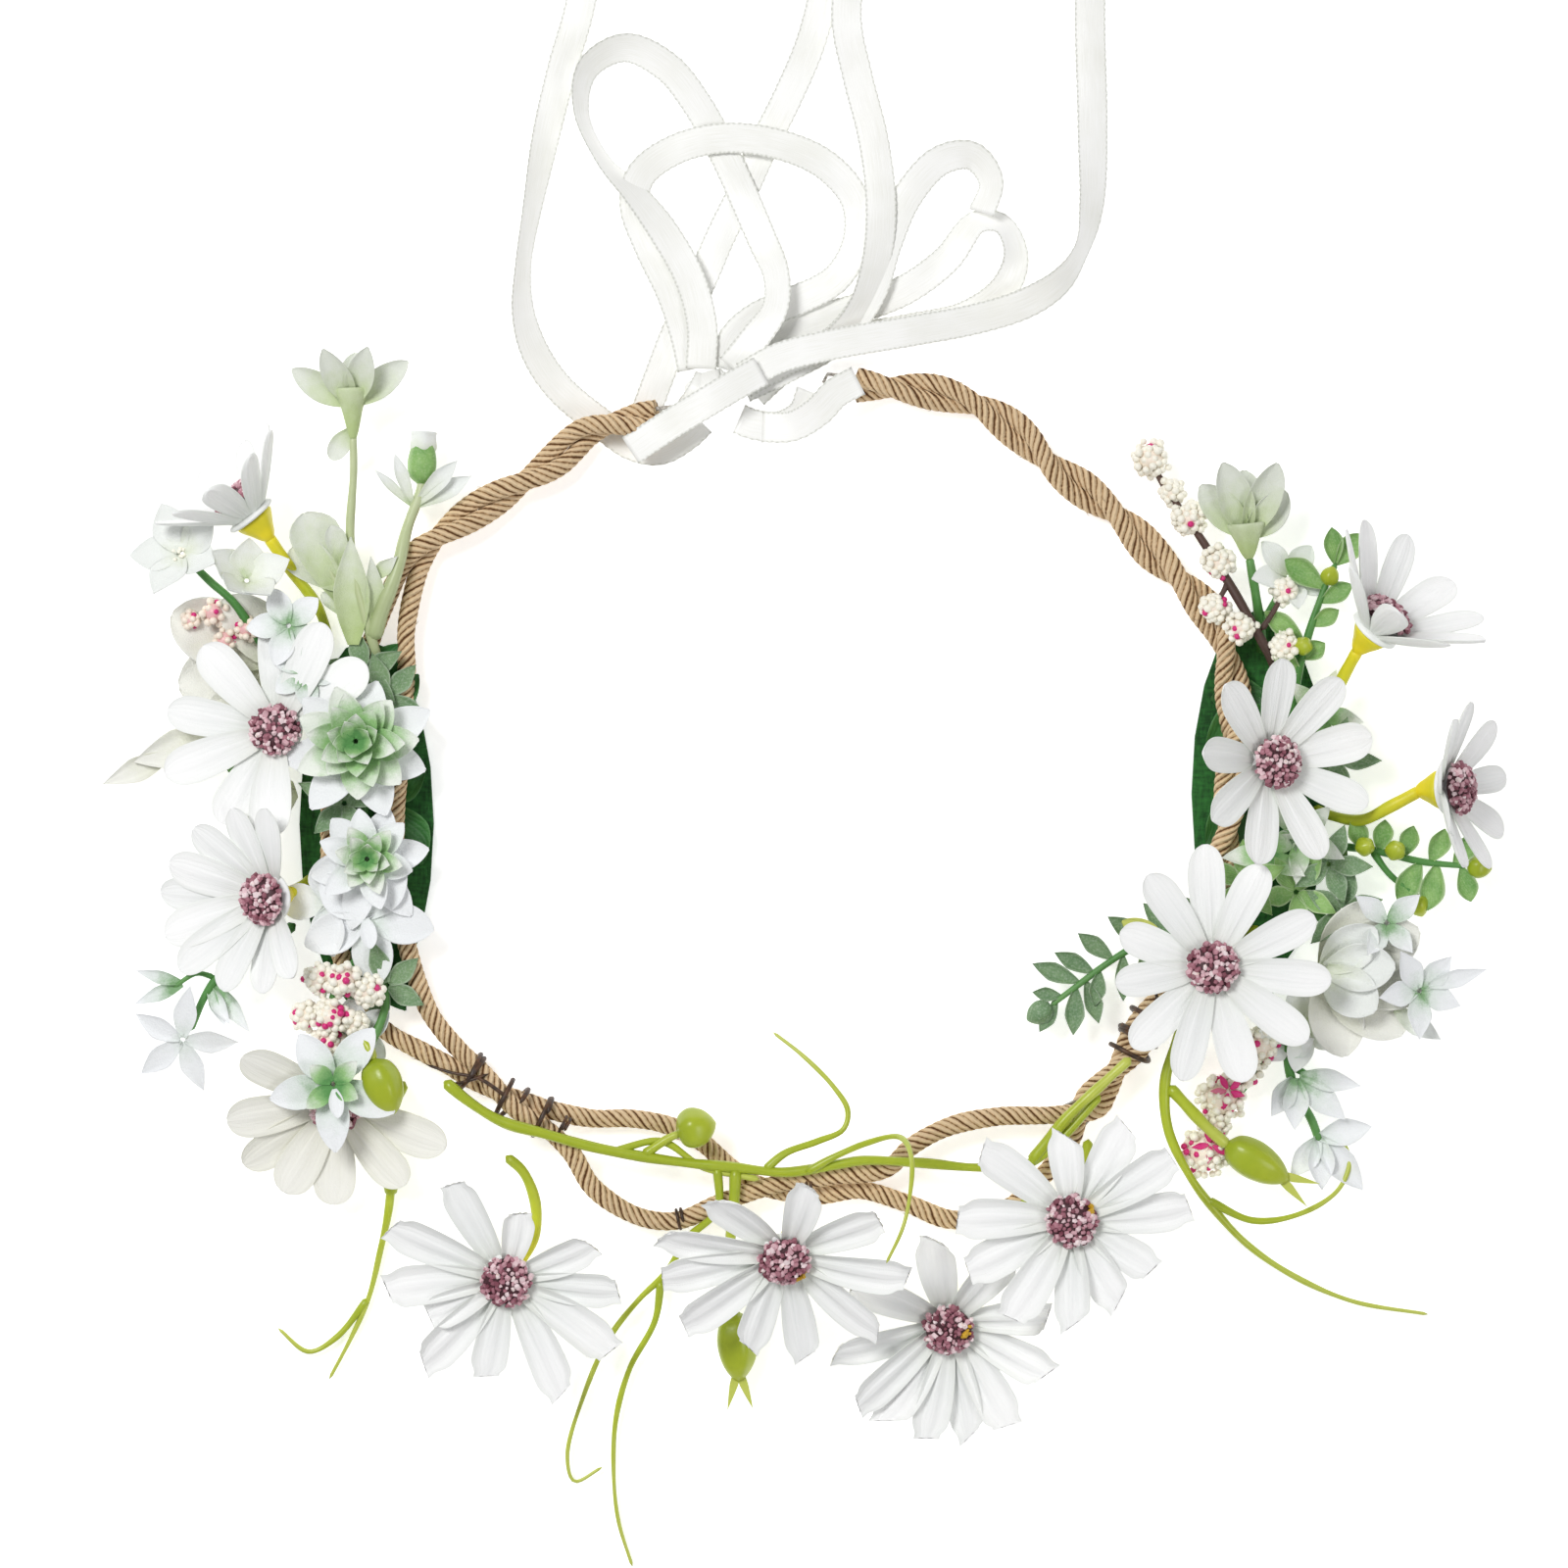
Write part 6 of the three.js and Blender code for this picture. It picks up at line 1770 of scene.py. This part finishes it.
def low_sprig() -> Spray:
    """The small star flowers at the lower left, on a dark stem from under the middle daisy."""
    s = Spray("star_sprig_left", "blossom_fabric", (Finish.WHITE_FLOCKED, Finish.DARK_STEM), 25)
    s.stem([(-112, -27, 4.6), (-120, -33, 6), (-128, -38, 6.5), (-131, -42, 6.5), (-134.5, -50, 6.5)],
           1.1, 0.8, 1, (0.1, 0.6))
    s.stem([(-129, -38.5, 6.5), (-133, -37.6, 6.8), (-138, -40.6, 7)], 0.6, 0.5, 1, (0.4, 0.7))
    s.leaves((
        (-136, -39.6, 7, -146, -37, 8, 3), (-136, -40, 7, -146.4, -44, 7, 3.4),
        (-129, -40, 6.6, -122, -50.5, 6, 4), (-130, -40, 6.6, -127, -49, 6, 3.6),
        (-130.6, -40.4, 6.6, -125.6, -48.6, 7.4, 3.2)), 0, 0.0, 0.5, tone=0.4)
    s.flower((-136, -51.8, 6.8), (-0.1, -0.3, 1), 5, 12, 5.2, 0, lean=2, start=50, tone=0.9,
             roundness=0.1, curl=-0.05)
    return s


def leaves_behind() -> Spray:
    """The dark glossy leaves and small green sprigs between the flowers of both clusters."""
    s = Spray("leaf_backing", "leaf_plastic", (Finish.DEEP, Finish.BOXWOOD, Finish.DARK_STEM,
                                               Finish.DUSTY, Finish.FLOCKED), 26)
    s.leaves((
        (-95, 25, 5, -88, 33, 6.5, 8), (-93, 18, 5, -85.6, 27, 6, 7), (-91, -2, 3.4, -84.4, -14, 3.4, 10),
        (-94, 2, 3.2, -84.2, 6, 3.4, 10), (-97, -33, 4, -88.6, -46, 6, 7),
        (-96, -42, 4, -86.5, -38.5, 5.4, 6), (99, 18, 3.4, 84.6, 10, 3.6, 14),
        (94, -4, 3.4, 84.5, -10, 3.4, 12), (97, 22, 3.4, 85.4, 22, 3.4, 9)), 0, 0.35, 0.15, 0.03, 0.2, 0.4)
    sprigs = ((-97, 27, 8), (-92, 22, 8), (-101, -1, 9), (-92, -40, 8), (104, -8, 10), (110, -14, 10),
              (103, -20, 10), (97, -12, 10.5), (113, -24, 9.5), (92, -18, 11), (108, 18, 9), (111, 9, 9))
    for number, (x, y, z) in enumerate(sprigs):
        s.flower((x, y, z), (0.2 * math.sin(x), 0.2 * math.cos(y), 1), 5, 9.4, 4.6,
                 3 if x < 0 else (1, 4, 3)[number % 3], lean=12, start=x * 3, tone=0.6, roundness=0.1,
                 curl=0.0)
    return s


def boxwood() -> Spray:
    """Bright green leafy twig on the outer side of the right cluster, with curled leaves and buds."""
    s = Spray("boxwood_spray", "leaf_plastic", (Finish.BOXWOOD, Finish.DARK_STEM, Finish.VINE), 31)
    s.stem([(103.4, 0, 3.5), (103, 12, 4.4), (103.2, 24, 8), (105.5, 34.5, 10), (109, 45, 11),
            (111.5, 50.5, 11)], 1.2, 0.7, 1, (0.3, 0.6))
    s.stem([(103.4, 1.5, 3.5), (104.5, -7.5, 5), (112, -10, 6.5), (119.5, -11, 8), (130, -13.5, 8.5),
            (140, -14.5, 8.5)], 1.2, 0.6, 1, (0.3, 0.6))
    s.stem([(119.5, -11, 8), (123, -16, 9), (128.4, -20.6, 9)], 0.8, 0.6, 1, (0.4, 0.6))
    s.leaves((
        (105, 33, 9.8, 96, 40, 10.5, 4.8), (109, 45, 11, 100.5, 51, 10, 5.6),
        (111.3, 50, 11, 117, 56.4, 11, 5.4), (111.3, 50, 11, 110, 58, 12, 4.4),
        (108, 42, 11, 115, 45.4, 12, 4.4), (106.4, 37, 10.4, 112, 40.4, 12, 4),
        (104, 30, 9.6, 109, 33.6, 11, 4.6), (104, 27, 9, 97.6, 31, 11, 4.6),
        (130, -13.5, 8.5, 124.6, -22, 9.5, 5.6), (133.5, -13.8, 8.5, 131, -24, 9, 5.6),
        (137, -14.2, 8.6, 141.6, -7.6, 9, 4.8), (132, -13.6, 8.6, 135, -6.4, 10, 4.8),
        (126, -12.6, 8.4, 128.4, -5.8, 9.4, 4.4), (121, -11.4, 8.4, 122, -4.4, 9.4, 4.6),
        (118, -10.8, 8, 115, -4.6, 9, 4.6), (114, -10.4, 7.4, 110, -17, 8.4, 4.6),
        (138.6, -14.4, 8.5, 140.8, -22, 8.2, 4.6)), 0, 0.3, 0.55, 0.1, 0.2, 0.5, 0.25)
    for row in (
            (140, -14.5, 8.5, 1, -0.1, 0, 2.5), (128.4, -20.6, 9, 0.4, -1, 0, 2.4),
            (124, -12, 9, 0.1, 0.5, 1, 2.2), (117, -10.6, 8.6, 0.4, 0.2, 1, 2.1),
            (109.6, 46, 11.6, 0.2, 0.8, 0.5, 2.0), (104.6, 32, 10.6, -0.2, 0.4, 1, 2.0)):
        s.piece.add(*bud(row[:3], row[3:6], row[6] * 2.1, row[6], 0), finish=2)
    return s


def eucalyptus() -> Spray:
    """Dusty green lance leaves in pairs along a thin sprig that reaches over the ring."""
    s = Spray("eucalyptus_sprig", "leaf_plastic", (Finish.DUSTY, Finish.DARK_STEM, Finish.VINE), 32)
    trunk = [(90, -21.5, 10.8), (84.5, -25, 11.4), (78.5, -28.5, 11.2), (69, -31.5, 9.5),
             (62.5, -35.5, 8.5), (56.5, -40, 8), (50.5, -44.5, 7.6)]
    s.stem(trunk, 1.0, 0.6, 1, (0.3, 0.7))
    for row in (
            (77, -29, 10.8, 68, -20.5, 9.8, 4.8), (71, -31, 9.9, 60, -23.6, 9.4, 5),
            (64, -34.6, 8.6, 54, -27, 8.6, 4.8), (57, -39.6, 8, 43.4, -34, 7.6, 5),
            (53, -42.4, 7.8, 44.6, -41.4, 8, 3.8), (66, -33.2, 9, 65.8, -46.5, 8, 4.6),
            (58, -38.8, 8.1, 62, -51, 7.6, 4.8), (56, -40.2, 8, 55, -54, 7.4, 5.2),
            (76, -29.2, 10.8, 76.6, -42, 9.6, 4.6), (82, -26.6, 11.2, 78, -19, 11.6, 4.4),
            (52, -43.4, 7.7, 47.4, -52.4, 7.4, 4), (61, -36.6, 8.4, 60, -47, 8, 4.4),
            (60, -37.6, 8.3, 49, -31, 8, 4.6), (71, -31, 9.9, 70.6, -42, 9, 4.4)):
        foot, tip = np.array(row[:3]), np.array(row[3:6])
        s.leaf(foot, foot + 0.76 * (tip - foot), row[6] * 0.84, 0, 0.08, 0.5, 0.08, 0.25, 0.5, 0.2)
    s.leaf((75, -31, 11.6), (65.4, -26.4, 12), 5.4, 2, 0.5, tone=0.8)
    s.piece.add(*bud((50.6, -44.4, 7.7), (-0.8, -0.5, 0), 6, 2.6, 0), finish=0)
    return s


def hydrangea() -> Spray:
    """A cream blossom of large overlapping petals with two broad leaves behind it."""
    s = Spray("hydrangea_flower", "blossom_fabric", (Finish.CREAM, Finish.DARK_STEM, Finish.BLOSSOM,
                                                     Finish.BERRY, Finish.WHITE_FLOCKED), 33)
    s.stem([(101.5, -17.5, ROOT_Z), (106, -22.5, 5.5), (112, -29, 8), (117, -35.5, 10.6)], 1.2, 1, 1)
    for number, (tip, width) in enumerate((((120, -21.5, 10), 12), ((129, -28, 9.5), 13),
                                           ((131, -40, 9.5), 13), ((125, -51, 9.5), 13),
                                           ((113.5, -55, 9), 12))):
        s.leaf((109, -37, 10 + 0.3 * number), tip, width, 0, 0.75, 0.22, 0.12, 0.35, 0.7)
    for number, (tip, width) in enumerate((((119, -27, 14), 10), ((123.5, -35.5, 14), 10.5),
                                           ((119, -45.5, 14), 10.5))):
        s.leaf((108.5, -36.5, 13 + 0.3 * number), tip, width, 2, 0.7, 0.3, 0.16, 0.3, 0.75)
    s.flower((129, -41, 13), (0.25, 0, 1), 5, 9.6, 5.6, 4, lean=12, start=15, roundness=0.1, curl=0.02,
             tone=0.62)
    s.flower((122, -26.5, 13), (0.2, 0.2, 1), 4, 8.6, 5, 4, lean=14, start=50, roundness=0.1, curl=0.02,
             tone=0.5)
    s.leaf((131, -40, 13), (143.6, -36.6, 13), 4, 4, 0.0, tone=0.75)
    s.leaf((124, -45, 12), (133.5, -52, 10), 5, 2, 0.1, tone=0.7)
    return s


def bell() -> Spray:
    """A pale funnel-shaped blossom on a short stem above the right cluster, and a small flower."""
    s = Spray("bell_flower", "blossom_fabric", (Finish.BLOSSOM, Finish.DARK_STEM, Finish.PALE_GREEN),
              34)
    s.stem([(96.6, 31, ROOT_Z), (95.8, 37, 6), (94.5, 44, 8.6), (93, 52, 9.6)], 1.1, 0.9, 1)
    foot, way = np.array([93, 51.4, 9.8]), np.array([-0.1, 1, 0.1])
    s.turned([(0.8, 0), (1.5, 1.2), (2.6, 4), (4, 7.6), (3.6, 7.8), (2.2, 4.8), (0.3, 2.4)], foot, way, 2,
             (0.3, 0.6), 30, depth=0.06)
    mouth = foot + unit(way) * 5
    for tip in ((82.6, 67.4, 12), (87.2, 72, 15.4), (98.4, 71.8, 15), (101.2, 65.4, 11), (92.6, 70.4, 9)):
        s.leaf(mouth, tip, 7.6, 2, 0.75, 0.4, 0.04, 0.25, 0.7, over=(0, -0.3, 1))
    s.flower((101.6, 47.6, 9), (0.3, 0.4, 1), 5, 8.2, 5.6, 0, lean=16, start=20, tone=0.7)
    s.stem([(95.8, 37, 6), (98.4, 42, 8), (101.4, 47, 8.8)], 0.8, 0.6, 1)
    return s


def bead_spray() -> Spray:
    """A long dark stem with clusters of ivory beads and magenta bits, over the inside of the ring."""
    s = Spray("bead_spray", "berry_beads", (Finish.BERRY, Finish.BROWN_STEM, Finish.BOXWOOD), 35)
    s.stem([(99.5, 23, ROOT_Z), (98.4, 28.5, 8.6), (94.2, 36, 12), (88.4, 46.5, 10.5), (82, 57, 8.5),
            (75.5, 66.5, 7), (73, 71, 6.5)], 1.2, 0.7, 1, (0.2, 0.6))
    for *centre, spread, count in (
            (72.2, 73, 6.6, 3.6, 40), (80.2, 60.2, 9, 3.2, 34), (86.4, 50.6, 11, 3.2, 34),
            (85.6, 41, 10.5, 2.8, 28), (91, 36.6, 12.6, 2.9, 28), (100.4, 44.4, 11, 2.6, 24),
            (100.4, 32.8, 11.6, 2.8, 26), (76.6, 66, 7.2, 2.4, 22)):
        s.cluster(centre, spread * 1.05, round(count * 1.4), 0.92, 0, 0.06)
    for start, end in (((88.4, 46.5, 10.5), (85.8, 41.8, 10.5)), ((94.2, 36, 12), (91, 37, 12.4)),
                       ((97, 32, 10.4), (100, 33, 11)), ((95.4, 36, 11.6), (100, 43.6, 10.8))):
        s.stem([start, [(a + b) / 2 + 0.4 for a, b in zip(start, end)], end], 0.7, 0.5, 1)
    return s


def right_berries() -> Spray:
    """Bead clusters on a twig below the lower right daisy, with magenta stars on two of them."""
    s = Spray("berry_spray_right", "berry_beads", (Finish.BERRY, Finish.DARK_STEM), 36)
    s.stem([(98.5, -32, ROOT_Z), (97.5, -45, 4.8), (95, -57.8, 6), (89.5, -66, 5.4), (85, -74, 4.8)],
           1.1, 0.7, 1)
    for x, y, z in ((88.6, -62.6, 9.8), (84.8, -74, 9.6)):
        s.flower((x, y, z), UP, 5, 3.5, 1.5, 0, lean=4, start=x, roundness=0, tone=0.0)
    for *centre, spread, count in (
            (95.6, -53.4, 7, 4.2, 46), (92.2, -58.6, 6.6, 3.4, 34), (87.4, -64.6, 6, 4.8, 56),
            (86.4, -70, 5.6, 2.6, 22), (83.8, -76, 6, 4.9, 58)):
        s.cluster(centre, spread, round(count * 1.3), 0.92, 0, 0.3)
    return s


def falling_sprig() -> Spray:
    """The blossoms that hang from the lower right of the cluster."""
    s = Spray("blossom_sprig_right", "blossom_fabric", (Finish.WHITE_FLOCKED, Finish.DARK_STEM,
                                                        Finish.BLOSSOM), 37)
    s.stem([(104, -38, 4.4), (102, -50, 6), (101.6, -56, 6.8), (103, -62, 6.6), (107, -69.5, 6),
            (108.6, -74, 5.6)], 1.2, 0.9, 1, (0.3, 0.6))
    s.stem([(102, -57, 6.8), (107, -60, 7.6), (111, -60.6, 8)], 0.9, 0.7, 1, (0.3, 0.6))
    s.leaves((
        (102.8, -60, 8, 97.6, -68, 8.4, 5.4), (103, -60, 8.4, 103.4, -71, 9, 5.8),
        (104, -60, 8.6, 113.6, -69, 8.4, 6), (104, -59.4, 8.6, 117, -61.2, 9, 5),
        (101.6, -55, 8, 107, -51.4, 8.4, 4.6), (101.6, -53, 7, 96.6, -56, 8, 4.2)), 0, 0.1, 0.4, tone=0.55)
    for tip, width in (((119.6, -70, 6.4), 6), ((117.4, -84.4, 6), 6.6), ((109, -84, 7.6), 6),
                       ((102.8, -81.6, 6), 5.6)):
        s.leaf((108.4, -73, 6), tip, width, 0, 0.2, 0.45, tone=0.72)
    s.flower((104.6, -48.6, 8), (0.1, -0.1, 1), 5, 9, 6, 2, lean=14, start=10, tone=0.6)
    return s


# ---- the whole crown
def main() -> None:
    """Builds the crown, piece by piece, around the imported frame."""
    logging.basicConfig(level=logging.INFO, format="%(name)s %(message)s")
    plan = Plan.from_pad()
    Studio().build(plan)
    Ribbons().build(plan)
    Band().build(plan)
    Vines().build(plan)
    for daisy in daisies():
        daisy.build(plan)
    for spray in (flocked_spray, trumpet_spray, left_berries, outer_sprig, low_sprig, leaves_behind,
                  boxwood, eucalyptus, hydrangea, bell, bead_spray, right_berries, falling_sprig):
        spray().build(plan)
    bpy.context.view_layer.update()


if __name__ == "__main__":
    main()
